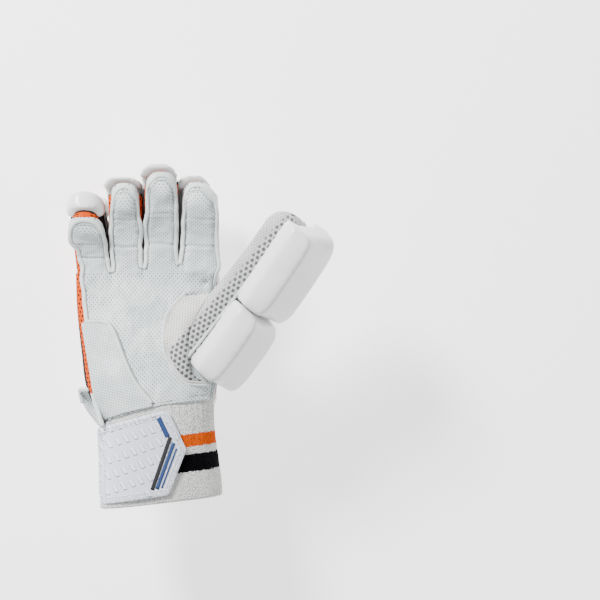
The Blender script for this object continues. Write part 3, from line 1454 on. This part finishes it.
@dataclass
class Padding:
    """All pads of the glove, laid out as slightly small closed forms that a cloth simulation then fills."""

    finishes: Finishes
    palm: PalmLeather
    voxel: float = 2.2
    cap: float = 1.3
    pressure: float = 4.0
    shrink: float = 0.5
    floor_gap: float = 0.2
    enlarged: float = 10.0
    frames: int = 16
    gap: float = 0.003
    rows: int = 26
    around: int = 32
    roll_over: float = 1.7
    bar_over: float = 2.0
    side_over: float = 4.6
    side_half: float = 6.0
    shear: float = 0.045
    thumb_pad_half: float = 30.4
    thumb_pad_depth: float = 23.5
    caps: dict = field(default_factory=lambda: {
        "index": (3.5, -3.0, 1.8, -3.0), "middle": (4.0, -2.5, 1.8, -3.0),
        "ring": (3.0, -3.0, 1.8, -3.0), "little": (4.2, 9.0, 5.2, -0.5),
    })
    rolls_short: dict = field(default_factory=lambda: {"index": 0.07, "middle": 0.09, "ring": 0.15,
                                                       "little": 0.09})

    def __post_init__(self) -> None:
        """Starts with no pads."""
        self.forms: dict[str, Grid] = {}

    def roll_form(self, finger: Finger, part: Segment) -> Grid:
        """A roll or block behind a finger's bar, with rounded ends.

        Args:
            finger: Lane of the roll.
            part: Its place and depth along the lane.

        Returns:
            The roll's grid.
        """
        end = part.end - self.gap - (self.rolls_short[finger.name] if part.name == "tip_roll" else 0.0)
        place, tau = pad_steps(part.start + self.gap, end, self.rows, 0.97)
        scale = rounded(tau, 4.5)[:, None]
        cos, sin = squared(round_turns(self.around), part.square)
        share = (place - part.start) / (part.end - part.start)
        deep = finger.roll * (part.first + (part.last - part.first) * share)
        seat = -(FORM.bar + FORM.clearance)
        bottom, top = (seat - deep)[:, None] + self.shrink, seat - self.shrink
        half = (FORM.lane_half(finger, place) + self.roll_over)[:, None] - self.shrink
        out = (bottom + top) / 2 + (top - bottom) / 2 * sin * scale
        return closed_form(FORM.lane_point(finger, place[:, None], cos * half * (0.45 + 0.55 * scale), out))

    def lay_out(self) -> None:
        """Places all pads."""
        for finger in FORM.fingers:
            for part in SEGMENTS:
                self.forms[finger.name + "_" + part.name] = self.roll_form(finger, part)
            self.forms[finger.name + "_bar"] = self.bar_form(finger)
        for name, start, end, last in (("index_side_pad_1", 0.56, 0.86, 0.62),
                                       ("index_side_pad_2", 0.06, 0.53, 0.55),
                                       ("index_side_pad_3", -0.52, 0.03, 0.5)):
            self.forms[name] = self.side_form(FORM.fingers[0], start, end, 0.06, last)
        self.forms["thumb_base_pad"] = self.thumb_form(0.08, 0.51)
        self.forms["thumb_tip_pad"] = self.thumb_form(0.508, 1.01)

    def bar_form(self, finger: Finger) -> Grid:
        """The long bar behind a finger, whose end hooks over the fingertip along the leather's outline."""
        count = 90
        past, thin, margin, lean = self.caps[finger.name]
        end = finger.length - self.palm.short[finger.name]
        s = np.concatenate([np.linspace(-0.975 * FORM.palm_length, end - 24, count // 2)[:-1],
                            np.linspace(end - 24, end + past, count // 2 + 1)])
        place = np.where(s < 0, s / FORM.palm_length, s / finger.length)
        cos, sin = squared(round_turns(self.around), 4.0)
        reach = 1.15 * finger.tip_half + past
        tip = np.clip((s - end - past + reach) / reach, 0, 1)
        half = (FORM.lane_half(finger, place) + self.bar_over) * rounded(tip * 0.98, 2.4)
        high = self.palm.edge(finger, s) * FORM.stall_depth(np.clip(place, -1, 0.93)) - margin
        rise = ease(end - 20, end - 9, s)
        back = np.where(place < -0.04, -place * FORM.bar_rise, -FORM.clearance)
        top = (back * (1 - rise) + high * rise)[:, None]
        bottom = (-FORM.bar + (FORM.bar - thin) * ease(0.6, 0.97, place))[:, None]
        ends = np.where(place < 0, rounded(np.clip((-0.94 - place) / 0.036, 0, 0.98), 2.2), 1.0)[:, None]
        middle, depth = (top + bottom) / 2, (top - bottom) / 2 * ends
        shift = (lean * ease(0.6, 1.0, place))[:, None]
        across = cos * half[:, None] + shift
        return closed_form(FORM.lane_point(finger, place[:, None], across, middle + depth * sin))

    def side_form(self, finger: Finger, start: float, end: float, first: float, last: float) -> Grid:
        """A small pad on the thumb side of the index finger."""
        place, tau = pad_steps(start, end, 24, 0.97)
        scale = rounded(tau, 4.0)[:, None]
        cos, sin = squared(round_turns(28), 3.2)
        deep = FORM.stall_depth(place)[:, None]
        middle, reach = (first + last) / 2 * deep, (last - first) / 2 * deep * scale
        seat = FORM.lane_half(finger, place)[:, None] + self.side_over - self.side_half
        across = seat + cos * self.side_half * (0.5 + 0.5 * scale)
        return closed_form(FORM.lane_point(finger, place[:, None], across, middle + sin * reach))

    def thumb_form(self, start: float, end: float) -> Grid:
        """A faceted pad on the back of the thumb: a wide face, two flanks and short folds beside the thumb."""
        section = np.array([(-0.8, -0.42), (-0.86, -0.3), (-1.0, 0.24), (-0.99, 0.32), (-0.8, 0.93), (-0.74, 0.98),
                            (0.0, 1.0), (0.74, 0.98), (0.8, 0.93), (0.99, 0.32), (1.0, 0.24), (0.86, -0.3),
                            (0.8, -0.42), (0.4, -0.06), (-0.4, -0.06)])
        share, tau = pad_steps(start, end, self.rows, 0.95)
        scale = rounded(tau, 4.4)[:, None]
        lean = self.shear * ((1 - tau) / 2 if end > 1 else 1 + 0 * tau)[:, None]
        closed = np.vstack([section, section[:1]])
        steps = np.linspace(0, len(section), 49)[:-1]
        across = np.interp(steps, np.arange(len(closed)), closed[:, 0])[None, :]
        rise = np.interp(steps, np.arange(len(closed)), closed[:, 1])[None, :]
        deep = 15.0 * along(FORM.thumb, "depth", np.clip(share, 0, 1))[:, None] + 0.3
        out = deep + np.where(rise < 0, rise / 0.42 * 8.5, rise * self.thumb_pad_depth * (0.25 + 0.75 * scale))
        wide = across * self.thumb_pad_half * (0.78 + 0.22 * scale)
        return closed_form(FORM.thumb_point(share[:, None] - lean * (across + 1) / 2, wide, out))

    def fill(self) -> dict[str, bpy.types.Object]:
        """Makes each pad's mesh and swells it by a short cloth simulation under pressure.

        Returns:
            The pads by name.
        """
        pads = {}
        for name, grid in self.forms.items():
            pad = mesh_from(name + "_pad", [grid], self.finishes.pad)
            remesh = pad.modifiers.new("voxels", "REMESH")
            remesh.mode = "VOXEL"
            remesh.voxel_size = self.voxel * MM
            remesh.use_smooth_shade = True
            apply_modifiers(pad)
            pads[name] = pad
        self.simulate(list(pads.values()))
        for pad in pads.values():
            pad.data.materials.clear()
            pad.data.materials.append(self.finishes.pad)
        return pads

    def simulate(self, pads: list[bpy.types.Object]) -> None:
        """Runs the cloth simulation on a joined copy of the pads and moves their points by it."""
        counts = [len(pad.data.vertices) for pad in pads]
        copies = []
        for pad in pads:
            copy = bpy.data.objects.new("filling", pad.data.copy())
            bpy.context.collection.objects.link(copy)
            copies.append(copy)
        whole = join("filling", copies)
        whole.scale = (self.enlarged,) * 3
        bpy.context.view_layer.update()
        whole.data.transform(whole.matrix_world)
        whole.scale = (1.0, 1.0, 1.0)
        before = read_points(whole.data)
        cloth = whole.modifiers.new("filling", "CLOTH")
        cloth.settings.use_pressure = True
        cloth.settings.uniform_pressure_force = self.pressure
        cloth.settings.quality = 4
        cloth.settings.mass = 0.3
        cloth.settings.effector_weights.gravity = 0.0
        cloth.settings.tension_stiffness = 25.0
        cloth.settings.compression_stiffness = 25.0
        cloth.settings.bending_stiffness = 2.0
        cloth.collision_settings.use_collision = False
        cloth.point_cache.frame_start = 1
        cloth.point_cache.frame_end = self.frames
        for number in range(1, self.frames + 1):
            bpy.context.scene.frame_set(number)
        depsgraph = bpy.context.evaluated_depsgraph_get()
        after = read_points(whole.evaluated_get(depsgraph).data)
        bpy.context.scene.frame_set(1)
        moved = (after - before) / self.enlarged
        size = np.linalg.norm(moved, axis=1, keepdims=True)
        limit = self.cap * MM
        moved *= np.where(size > limit, limit / np.maximum(size, 1e-9), 1.0)
        LOG.info("filling moved points by %.2f mm at most, %.2f mm on average",
                 size.max() / MM, size.mean() / MM)
        start = 0
        for pad, count in zip(pads, counts):
            write_points(pad.data, read_points(pad.data) + moved[start:start + count])
            start += count
            soften(pad, 2)
        old = whole.data
        bpy.data.objects.remove(whole)
        bpy.data.meshes.remove(old)

    def dress(self, pads: dict[str, bpy.types.Object]) -> None:
        """Gives each pad its finish, its pattern coordinates and its place on the glove."""
        for name, pad in pads.items():
            finish, slot = self.finishes.pad, "pad_white"
            if name.endswith("knuckle_block"):
                finish, slot = self.finishes.red, "pad_red"
            elif name.endswith("_roll"):
                finish = self.finishes.roll
            pad.data.materials[0] = finish
            finger = next((f for f in FORM.fingers if name.startswith(f.name)), None)
            points = read_points(pad.data)
            points[:, 2] = np.maximum(points[:, 2], self.floor_gap * MM)
            write_points(pad.data, points)
            points = points / MM - SHIFT
            if finger:
                across, length = lane_coordinates(finger, points)
            else:
                across, length = points[:, 0], points[:, 1]
            corners = np.empty(len(pad.data.loops), int)
            pad.data.loops.foreach_get("vertex_index", corners)
            layer = pad.data.uv_layers.new(name=PATTERN)
            layer.data.foreach_set("uv", np.stack([across[corners], length[corners]], -1).ravel())
            finer = pad.modifiers.new("finer", "SUBSURF")
            finer.levels = finer.render_levels = 1
            apply_modifiers(pad)
            for face in pad.data.polygons:
                face.use_smooth = True
            piece_done(pad, slot, name)

    def build(self) -> None:
        """Makes all pads."""
        self.lay_out()
        self.dress(self.fill())


# Thumb


@dataclass
class Thumb:
    """The thumb's tube: leather in its palmar middle and ringed mesh beside the pads, with piped seams."""

    finishes: Finishes
    wall: float = 1.2
    piping_turn: float = math.radians(63)
    net_line: tuple = ((66.0, 20.0), (44.0, 26.0), (30.0, 38.0), (28.0, 46.0), (70.3, 105.4), (105.5, 152.1),
                       (112.0, 160.0))
    net_widths: tuple = (9.0, 13.0, 17.0, 17.0, 9.0, 6.5, 4.0)

    def net_share(self, points: np.ndarray) -> np.ndarray:
        """How far each point lies in the ringed mesh that runs along the pads' edge, from 0 to 1."""
        line, flat = np.array(self.net_line), points[..., :2].reshape(-1, 2)
        best = np.full(len(flat), 1e9)
        inside = np.zeros(len(flat))
        for k in range(len(line) - 1):
            way = line[k + 1] - line[k]
            t = np.clip(((flat - line[k]) @ way) / (way @ way), 0, 1)
            away = flat - (line[k] + t[:, None] * way)
            gap = np.linalg.norm(away, axis=1)
            wide = self.net_widths[k] + (self.net_widths[k + 1] - self.net_widths[k]) * t
            nearer = gap < best
            inside = np.where(nearer, 1 - ease(wide - 1.0, wide + 1.0, gap), inside)
            best = np.minimum(best, gap)
        return inside.reshape(points.shape[:-1])

    def flat_pattern(self, points: np.ndarray) -> np.ndarray:
        """Pattern coordinates across and along the thumb, as seen from the palm's side."""
        run = np.array(FORM.thumb_span[:2]) / math.hypot(*FORM.thumb_span[:2])
        flat = points[..., :2]
        return np.stack([flat[..., 0] * run[1] - flat[..., 1] * run[0], flat @ run], -1)

    def mark_net(self, piece: bpy.types.Object) -> None:
        """Writes the share of ringed mesh to the piece's points."""
        share = self.net_share(read_points(piece.data) / MM - SHIFT)
        piece.data.attributes.new(NET, "FLOAT", "POINT").data.foreach_set("value", share)

    @property
    def dome(self) -> float:
        """Length of the tip's dome as a share of the thumb's."""
        return 0.5 * FORM.thumb_depth / FORM.thumb_length

    def ring_point(self, share: np.ndarray, turn: np.ndarray, grow: float = 0.0) -> np.ndarray:
        """Points of the tube at shares along it and turns from the middle of its back."""
        inside = np.clip(share, 0, 1)
        half = FORM.thumb_width / 2 * along(FORM.thumb, "width", inside)
        deep = FORM.thumb_depth / 2 * along(FORM.thumb, "depth", inside)
        end = rounded(np.clip((share - 1 + self.dome) / self.dome, 0, 0.995), 2.2)
        cos, sin = np.cos(turn), np.sin(turn)
        across = np.sign(sin) * np.abs(sin) ** 0.8 * (half + grow) * end
        out = np.sign(cos) * np.abs(cos) ** 0.8 * (deep + grow) * end
        return FORM.thumb_point(share + 0 * across, across, out)

    def build(self) -> None:
        """Makes the tube and its seams, in place of both halves of the thumb stall."""
        tip = 1 - self.dome + self.dome * np.sin(np.linspace(0, 1.55, 12)[1:])
        share = np.concatenate([np.linspace(0, 1 - self.dome, 60), tip])
        turn = np.linspace(-math.pi, math.pi, 65)
        points = self.ring_point(share[:, None], turn[None, :])
        crinkle = 0.5 * ripple(points, 15.0, 2.2) + 0.2 * ripple(points, 5.0, 6.1)
        near = (ease(0.86, 1.0, share) * (1 - ease(0.99, 1.0, share)))[:, None]
        gather = 0.9 * np.sin(turn[None, :] * 22) * near
        palmar = ease(math.radians(100), math.radians(150), np.abs(turn))[None, :]
        lift = crinkle + gather * palmar
        middle = points.mean(axis=1, keepdims=True)
        away = points - middle
        away /= np.maximum(np.linalg.norm(away, axis=-1, keepdims=True), 1e-6)
        points = points + away * lift[..., None]
        points[:, -1] = points[:, 0]
        pattern = self.flat_pattern(points)
        tube_mesh = mesh_from("thumb_tube", [Grid(points, pattern)], self.finishes.thumb_skin, weld=0.01)
        thicken(tube_mesh, self.wall)
        self.mark_net(tube_mesh)
        piece_done(tube_mesh, "thumb_mesh", "thumb_stall_front", "thumb_stall_back")
        grids = []
        for side in (-1, 1):
            line = np.linspace(0.1, 0.985, 70)
            path = self.ring_point(line, np.full(70, side * self.piping_turn), 0.5)
            grids.append(tube_grid(path, 1.2, sides=8))
        seam = mesh_from("thumb_piping", grids, self.finishes.binding)
        piece_done(seam, "palm_leather")


# Cuff and strap


@dataclass
class Cuff:
    """Knitted towelling wristband with soft ribs."""

    finishes: Finishes
    wall: float = 4.0
    flare: float = 5.0
    band_slope: float = 0.12
    ribs: int = 46

    def build(self) -> None:
        """Makes the wristband with rounded rims."""
        around = 220
        outside = np.linspace(0, 1, 52)
        turn = np.arange(around) / around * 2 * math.pi
        rim = np.linspace(0, math.pi, 7)[1:-1]
        outside = np.concatenate([[-0.08, -0.05], outside])
        share = np.concatenate([outside, 1 + 0.02 * np.sin(rim), outside[::-4], -0.08 - 0.012 * np.sin(rim)])
        turned = self.wall / 2 * (1 - np.cos(rim))
        grow = np.concatenate([-1.6 * (1 - ease(-0.08, 0.06, outside)), -turned,
                               np.full(len(outside[::-4]), -self.wall), turned - self.wall])
        points = FORM.cuff_point(share[:, None], turn[None, :], grow[:, None])
        points[..., 0] += self.flare * ease(0.2, 1.0, share)[:, None] * ease(15, 45, points[..., 0])
        ribs = 0.16 * np.sin(turn * self.ribs)[None, :]
        ribs = ribs + 0.25 * ripple(points, 6.0, 4.4) + 0.7 * ripple(points, 30.0, 7.7)
        middle = np.array([FORM.seam_middle, 0, FORM.wrist_axis])
        away = points - middle
        away[..., 1] = 0
        away /= np.linalg.norm(away, axis=-1, keepdims=True)
        points = points + away * (ribs - 0.4)[..., None]
        closed = np.concatenate([points, points[:1]])
        lengths = self.band_slope * (closed[..., 0] - 50.0) - closed[..., 1]
        lengths = np.concatenate([lengths, lengths[:, :1]], axis=1)
        arc = np.concatenate([turn, [2 * math.pi]]) * FORM.cuff_width / 2
        pattern = np.stack(np.broadcast_arrays(arc[None, :], lengths), -1)
        rings = [Grid(closed, pattern, Close.RING)]
        band = mesh_from("cuff_towelling", rings, self.finishes.towel, weld=0.01)
        piece_done(band, "towel_white", "cuff")


@dataclass
class Strap:
    """The wrist strap: its pentagonal end on the palm side and its band round the outer side."""

    finishes: Finishes
    thickness: float = 3.4
    seat: float = 0.6
    corners: tuple = ((-45.8, -9.0), (7.7, 5.4), (13.1, 4.5), (27.1, -24.6), (26.2, -28.7), (13.1, -62.3),
                      (-42.8, -71.0))
    soft_corner: float = 3.0

    def outline(self, inset: float = 0.0, count: int = 160) -> np.ndarray:
        """Evenly spaced points of the rounded outline, moved inwards."""
        corners = np.array(self.corners)
        middle = corners.mean(axis=0)
        edges = np.roll(corners, -1, axis=0) - corners
        points = []
        for index, corner in enumerate(corners):
            before, after = -edges[index - 1], edges[index]
            soft = min(self.soft_corner, 0.45 * np.linalg.norm(before), 0.45 * np.linalg.norm(after))
            first = corner + before / np.linalg.norm(before) * soft
            last = corner + after / np.linalg.norm(after) * soft
            t = np.linspace(0, 1, 7)[:, None]
            points.append((1 - t) ** 2 * first + 2 * t * (1 - t) * corner + t**2 * last)
        path = np.vstack(points)
        closed = np.vstack([path, path[:1]])
        length = np.concatenate([[0], np.cumsum(np.linalg.norm(np.diff(closed, axis=0), axis=1))])
        steps = np.linspace(0, length[-1], count + 1)[:-1]
        even = np.stack([np.interp(steps, length, closed[:, k]) for k in (0, 1)], -1)
        run = np.roll(even, -1, axis=0) - np.roll(even, 1, axis=0)
        run /= np.linalg.norm(run, axis=1, keepdims=True)
        inward = np.stack([run[:, 1], -run[:, 0]], -1)
        if ((middle - even) * inward).sum() < 0:
            inward = -inward
        return even + inward * inset

    def on_cuff(self, flat: np.ndarray, rise: np.ndarray | float) -> np.ndarray:
        """Lays flat points on the palm side of the cuff at a height over it."""
        x = flat[..., 0] - FORM.seam_middle
        half = FORM.cuff_width / 2 * 1.02
        tall = FORM.cuff_depth / 2 * 1.02 * rounded(np.clip(x / half, -0.97, 0.97), 2.3)
        return np.stack(np.broadcast_arrays(flat[..., 0], flat[..., 1], FORM.wrist_axis + tall + rise), -1)

    def build(self) -> None:
        """Makes the strap's end with its border, ribs, stitches and bars, and the band."""
        steps = [(0.4, self.seat), (0.0, self.seat + 0.6), (0.0, self.thickness - 0.6),
                 (0.25, self.thickness - 0.15), (0.8, self.thickness)]
        rows = [self.on_cuff(self.outline(inset), rise) for inset, rise in steps]
        inner = self.outline(0.8)
        middle = inner.mean(axis=0)
        for share in (0.9, 0.75, 0.6, 0.45, 0.3, 0.15, 0.02):
            rows.append(self.on_cuff(middle + (inner - middle) * share, self.thickness))
        points = np.array(rows)
        pattern = np.concatenate([points[..., :2], points[:, :1, :2]], axis=1)
        face = mesh_from("strap_end", [Grid(points, pattern, Close.RING, caps=True)], self.finishes.strap)
        piece_done(face, "strap_white", "strap_label")
        sewn = [self.on_cuff(self.outline(3.4, 240), self.thickness + 0.12)]
        ridges = []
        for inset in (2.1, 4.7):
            path = self.on_cuff(self.outline(inset), self.thickness)
            ridges.append(tube_grid(path, 0.55, flat=0.6, looped=True, sides=6))
        piece_done(mesh_from("strap_border", ridges, self.finishes.strap, weld=0.001), "strap_white")
        thread = Stitching().sew("strap_stitches", sewn, self.finishes.stitch)
        piece_done(thread, "strap_white")
        self.bars()
        self.band()

    def flat_bar(self, corners: Sequence[tuple[float, float]], width: float) -> Grid:
        """A thin raised bar with rounded sides between two flat points."""
        path = np.array(corners)
        t = np.linspace(0, 1, 24)[:, None]
        line = path[0] * (1 - t) + path[1] * t
        return tube_grid(self.on_cuff(line, self.thickness + 0.25), width / 2, flat=0.3, sides=12)

    def bars(self) -> None:
        """Makes the printed blue and black bars near the point of the strap."""
        black = [self.flat_bar([(14.3, -15.5), (-0.3, -58.0)], 3.2)]
        blue = [self.flat_bar([(17.0, -20.2), (3.6, -57.4)], 3.0),
                self.flat_bar([(19.3, -24.6), (7.5, -56.6)], 1.5),
                self.flat_bar([(4.8, 0.2), (12.2, -15.2)], 4.0)]
        piece_done(mesh_from("strap_black_bar", black, self.finishes.print_black), "strap_white")
        piece_done(mesh_from("strap_blue_bars", blue, self.finishes.blue), "strap_white")

    def band(self) -> None:
        """Makes the band round the outer side and the back of the cuff."""
        turn = np.linspace(math.radians(150), math.radians(282), 60)
        across = np.linspace(-1, 1, 13)
        rows = []
        narrow = 1 - ease(math.radians(175), math.radians(225), turn)
        for side in across:
            share = 0.46 + (0.3 + 0.11 * narrow) * side
            thin = self.seat + 1.2 * (1 - abs(side) ** 6)
            rows.append((share, thin))
        outer = [FORM.cuff_point(share, turn, thin) for share, thin in rows]
        under = [FORM.cuff_point(share, turn, 0.35) for share, _ in reversed(rows)]
        points = np.array(outer + under).transpose(1, 0, 2)
        widths = np.concatenate([across, across[::-1]]) * 22.0
        pattern = np.zeros((60, len(widths) + 1, 2))
        pattern[..., 0] = np.concatenate([widths, widths[:1]])[None, :]
        pattern[..., 1] = (turn * FORM.cuff_width / 2)[:, None]
        band = mesh_from("strap_wrap", [Grid(points, pattern, Close.RING, caps=True)], self.finishes.strap)
        piece_done(band, "strap_white", "strap_band")


# Patches on the palm


@dataclass
class Patches:
    """The heel patch with its raised seam and the suede web towards the thumb."""

    finishes: Finishes
    palm: PalmLeather
    thumb: Thumb
    heel_seam: tuple = ((-54.9, 77.9), (-39.7, 77.1), (-32.8, 70.5), (-24.2, 49.2), (-14.8, 29.5),
                        (-0.8, 11.5))
    web_seam: tuple = ((26.2, 99.2), (14.5, 86.1), (9.8, 70.5), (12.6, 50.8), (19.4, 37.7), (27.9, 29.8),
                       (44.0, 27.9))
    loop_low: tuple = ((-61.0, 20.0, 70.0), (-58.5, 10.0, 68.0), (-53.0, 0.5, 68.0), (-44.0, -10.0, 74.0))
    loop_high: tuple = ((-60.0, 22.0, 84.0), (-51.0, 21.5, 92.0), (-46.8, 10.5, 102.0), (-40.5, -8.0, 110.0))

    def drop(self, flat: np.ndarray, rise: float) -> np.ndarray:
        """Lays flat points on the palm's dome."""
        y = flat[..., 1] - FORM.wrist_line
        share = np.clip(y / FORM.palm_length, 0, 1)
        slant = FORM.slant * (1 - share) ** 2 * (flat[..., 0] - FORM.seam_middle)
        share = np.clip((y - slant) / FORM.palm_length, 0, 1)
        size = FORM.hand_size(share)
        middle, half = hand_span(size)
        ratio = np.clip(np.abs(flat[..., 0] - middle) / half, 0, 0.995)
        tall = (1 - ratio ** size["palm_curve"]) ** (1 / size["palm_curve"])
        z = size["seam"] + (size["front"] - size["seam"]) * tall
        return np.stack([flat[..., 0], flat[..., 1], z + rise], -1)

    def build(self) -> None:
        """Makes both patches and their seams."""
        seam = smooth_curve(self.heel_seam, 60)
        share = np.linspace(0, 1, 60)
        foot = np.stack([np.interp(share, [0, 0.45, 1], [-58.5, -44.0, 0.0]),
                         np.interp(share, [0, 0.45, 0.7, 1], [76.0, -4.5, 3.5, 9.4])], -1)
        t = np.linspace(0, 1, 30)[:, None, None]
        flat = seam[None] * (1 - t) + foot[None] * t
        puff = 1 - np.exp(-t[..., 0] * 12)
        points = self.drop(flat, 0.0)
        points[..., 2] += 0.35 + puff + 0.3 * ripple(points, 9.0, 3.3) + 0.12 * ripple(points, 3.2, 1.3)
        pattern = np.stack([flat[..., 0] + 0.7 * flat[..., 1], flat[..., 1] - 0.7 * flat[..., 0]], -1)
        heel = mesh_from("heel_leather", [Grid(points, pattern)], self.finishes.palm)
        thicken(heel, 1.0)
        piece_done(heel, "palm_leather", "heel_patch")
        self.web()
        self.strap_root()
        ridge = [tube_grid(self.drop(seam, 1.4), 1.6, flat=0.9, sides=8)]
        piece_done(mesh_from("heel_seam", ridge, self.finishes.binding), "palm_leather")
        beside = [seam + np.array([shift, 0.0]) for shift in (-2.1, 2.2)]
        sunk = [tube_grid(self.drop(line, 0.9), 0.4, sides=6) for line in beside]
        piece_done(mesh_from("heel_seam_threads", sunk, self.finishes.seam), "palm_leather")

    def strap_root(self) -> None:
        """Makes the folded leather loop with a piped edge where the strap leaves the heel's outer side."""
        low, high = smooth_curve(self.loop_low, 24), smooth_curve(self.loop_high, 24)
        t = np.linspace(0, 1, 10)[:, None, None]
        points = low[None] * (1 - t) + high[None] * t
        points = points - np.array([-0.5, 0.0, 1.0]) * (5.0 * np.sin(math.pi * t))
        loop = mesh_from("strap_root", [Grid(points, points[..., :2])], self.finishes.palm)
        thicken(loop, 1.2)
        piece_done(loop, "palm_leather")
        edge = np.vstack([low[:8][::-1], high])
        piping = [tube_grid(edge, 1.9, sides=10)]
        piece_done(mesh_from("strap_root_piping", piping, self.finishes.binding), "palm_leather")

    def web(self) -> None:
        """Makes the suede web between the palm's seam and the thumb."""
        line = smooth_curve(self.web_seam, 60)
        seam, rail = self.drop(line, 0.5), self.drop(line, 1.2)
        place = np.linspace(0, 1, 60)
        share = np.interp(place, [0, 0.55, 1], [0.42, 0.16, 0.03])
        turn = np.interp(place, [0, 0.5, 1], np.radians([-128.0, -90.0, -24.0]))
        edge = self.thumb.ring_point(share, turn, 0.6)
        t = np.linspace(0, 1, 26)[:, None, None]
        points = seam[None] * (1 - t) + edge[None] * t
        belly = 4.0 * np.sin(math.pi * t[..., 0]) ** 1.2
        points = points + np.array([0, 0, 1.0]) * (belly + 0.4 * ripple(points, 12.0, 9.0))[..., None]
        sheet = [Grid(points, self.thumb.flat_pattern(points))]
        suede = mesh_from("web_suede", sheet, self.finishes.web_skin)
        thicken(suede, 1.1)
        self.thumb.mark_net(suede)
        piece_done(suede, "web_suede", "web_patch")
        outward = rail - rail.mean(axis=0)
        outward[:, 2] = 0
        outward /= np.linalg.norm(outward, axis=1, keepdims=True)
        ridge = mesh_from("web_seam", [tube_grid(rail, 1.0, flat=0.8, sides=8)], self.finishes.suede)
        piece_done(ridge, "web_suede")
        fold = tube_grid(rail + outward * 2.6 + np.array([0.0, 0.0, -0.6]), 1.3, flat=0.7, sides=8)
        piece_done(mesh_from("web_fold", [fold], self.finishes.binding), "palm_leather")


# Floor, light and camera


@dataclass
class Studio:
    """Pale floor, soft light and the camera straight above."""

    distance: float = 2.2
    field_width: float = 0.492
    height: float = 0.09
    origin_pixel: tuple[float, float] = (153.3, 416.5)
    scale: float = 0.82
    frame_pixels: int = 600
    sensor: float = 36.0
    aim: tuple[float, float, float] = (0.0, 0.0, 0.06)
    lamps: tuple = (("key", (-1.0, 1.2, 1.25), 0.55, 96.0), ("fill", (1.5, -0.4, 1.9), 1.8, 9.0),
                    ("top", (0.1, -0.4, 2.6), 1.6, 8.0))

    def build(self) -> None:
        """Makes the floor, the lights and the camera."""
        self.lay_floor()
        self.light()
        self.place_camera()

    def lay_floor(self) -> None:
        """Makes the pale floor, declared as stage."""
        floor = bpy.data.meshes.new("floor")
        floor.from_pydata([(-4, -4, 0), (4, -4, 0), (4, 4, 0), (-4, 4, 0)], [], [(0, 1, 2, 3)])
        plane = bpy.data.objects.new("floor", floor)
        bpy.context.collection.objects.link(plane)
        material = bpy.data.materials.new("pale floor")
        material.use_nodes = True
        tree = Tree(material.node_tree)
        shader = material.node_tree.nodes["Principled BSDF"]
        coords = tree.add("ShaderNodeTexCoord")
        speck = tree.noise(coords.outputs["Object"], 3.0, 3.0)
        pale = tree.mix(speck, rgba(0.92, 0.92, 0.92), rgba(0.95, 0.95, 0.95))
        tree.feed(shader.inputs["Base Color"], pale)
        shader.inputs["Roughness"].default_value = 0.7
        shader.inputs["Emission Color"].default_value = rgba(1.0, 1.0, 1.0)
        shader.inputs["Emission Strength"].default_value = 1.5
        floor.materials.append(material)

    def light(self) -> None:
        """Makes the even sky light and three round lamps."""
        world = bpy.data.worlds.new("studio")
        bpy.context.scene.world = world
        world.use_nodes = True
        world.node_tree.nodes["Background"].inputs["Color"].default_value = rgba(1.0, 1.0, 1.0)
        world.node_tree.nodes["Background"].inputs["Strength"].default_value = 0.62
        for name, place, size, power in self.lamps:
            lamp = bpy.data.lights.new(name, "AREA")
            lamp.shape = "DISK"
            lamp.size = size
            lamp.energy = power
            holder = bpy.data.objects.new(name, lamp)
            holder.location = place
            holder.rotation_euler = (Vector(self.aim) - Vector(place)).to_track_quat("-Z", "Y").to_euler()
            bpy.context.collection.objects.link(holder)

    def place_camera(self) -> None:
        """Makes the camera straight above, shifted to the photograph's framing."""
        half = self.frame_pixels / 2
        lens = bpy.data.cameras.new("camera")
        lens.sensor_width = self.sensor
        lens.lens = self.sensor * (self.distance - self.height) / self.field_width
        lens.shift_x = (half - self.origin_pixel[0] + SHIFT[0] / self.scale) / self.frame_pixels
        lens.shift_y = (self.origin_pixel[1] + SHIFT[1] / self.scale - half) / self.frame_pixels
        lens.clip_end = 50.0
        camera = bpy.data.objects.new("camera", lens)
        camera.location = (0.0, 0.0, self.distance)
        bpy.context.collection.objects.link(camera)
        bpy.context.scene.camera = camera


def dress_nodes(finishes: Finishes) -> None:
    """Gives the CAD nodes that stay their finish."""
    for node in bpy.data.objects:
        if node.type == "MESH" and node.name.startswith("back_panel"):
            for slot in node.material_slots:
                slot.material = finishes.lining


def main() -> None:
    """Builds the glove and the studio in order."""
    logging.basicConfig(level=logging.INFO, format="%(name)s %(message)s")
    finishes = Finishes()
    Studio().build()
    palm = PalmLeather(finishes)
    palm.build()
    SideWalls(finishes, palm).build()
    thumb = Thumb(finishes)
    thumb.build()
    Patches(finishes, palm, thumb).build()
    Cuff(finishes).build()
    Strap(finishes).build()
    Padding(finishes, palm).build()
    dress_nodes(finishes)


if __name__ == "__main__":
    main()
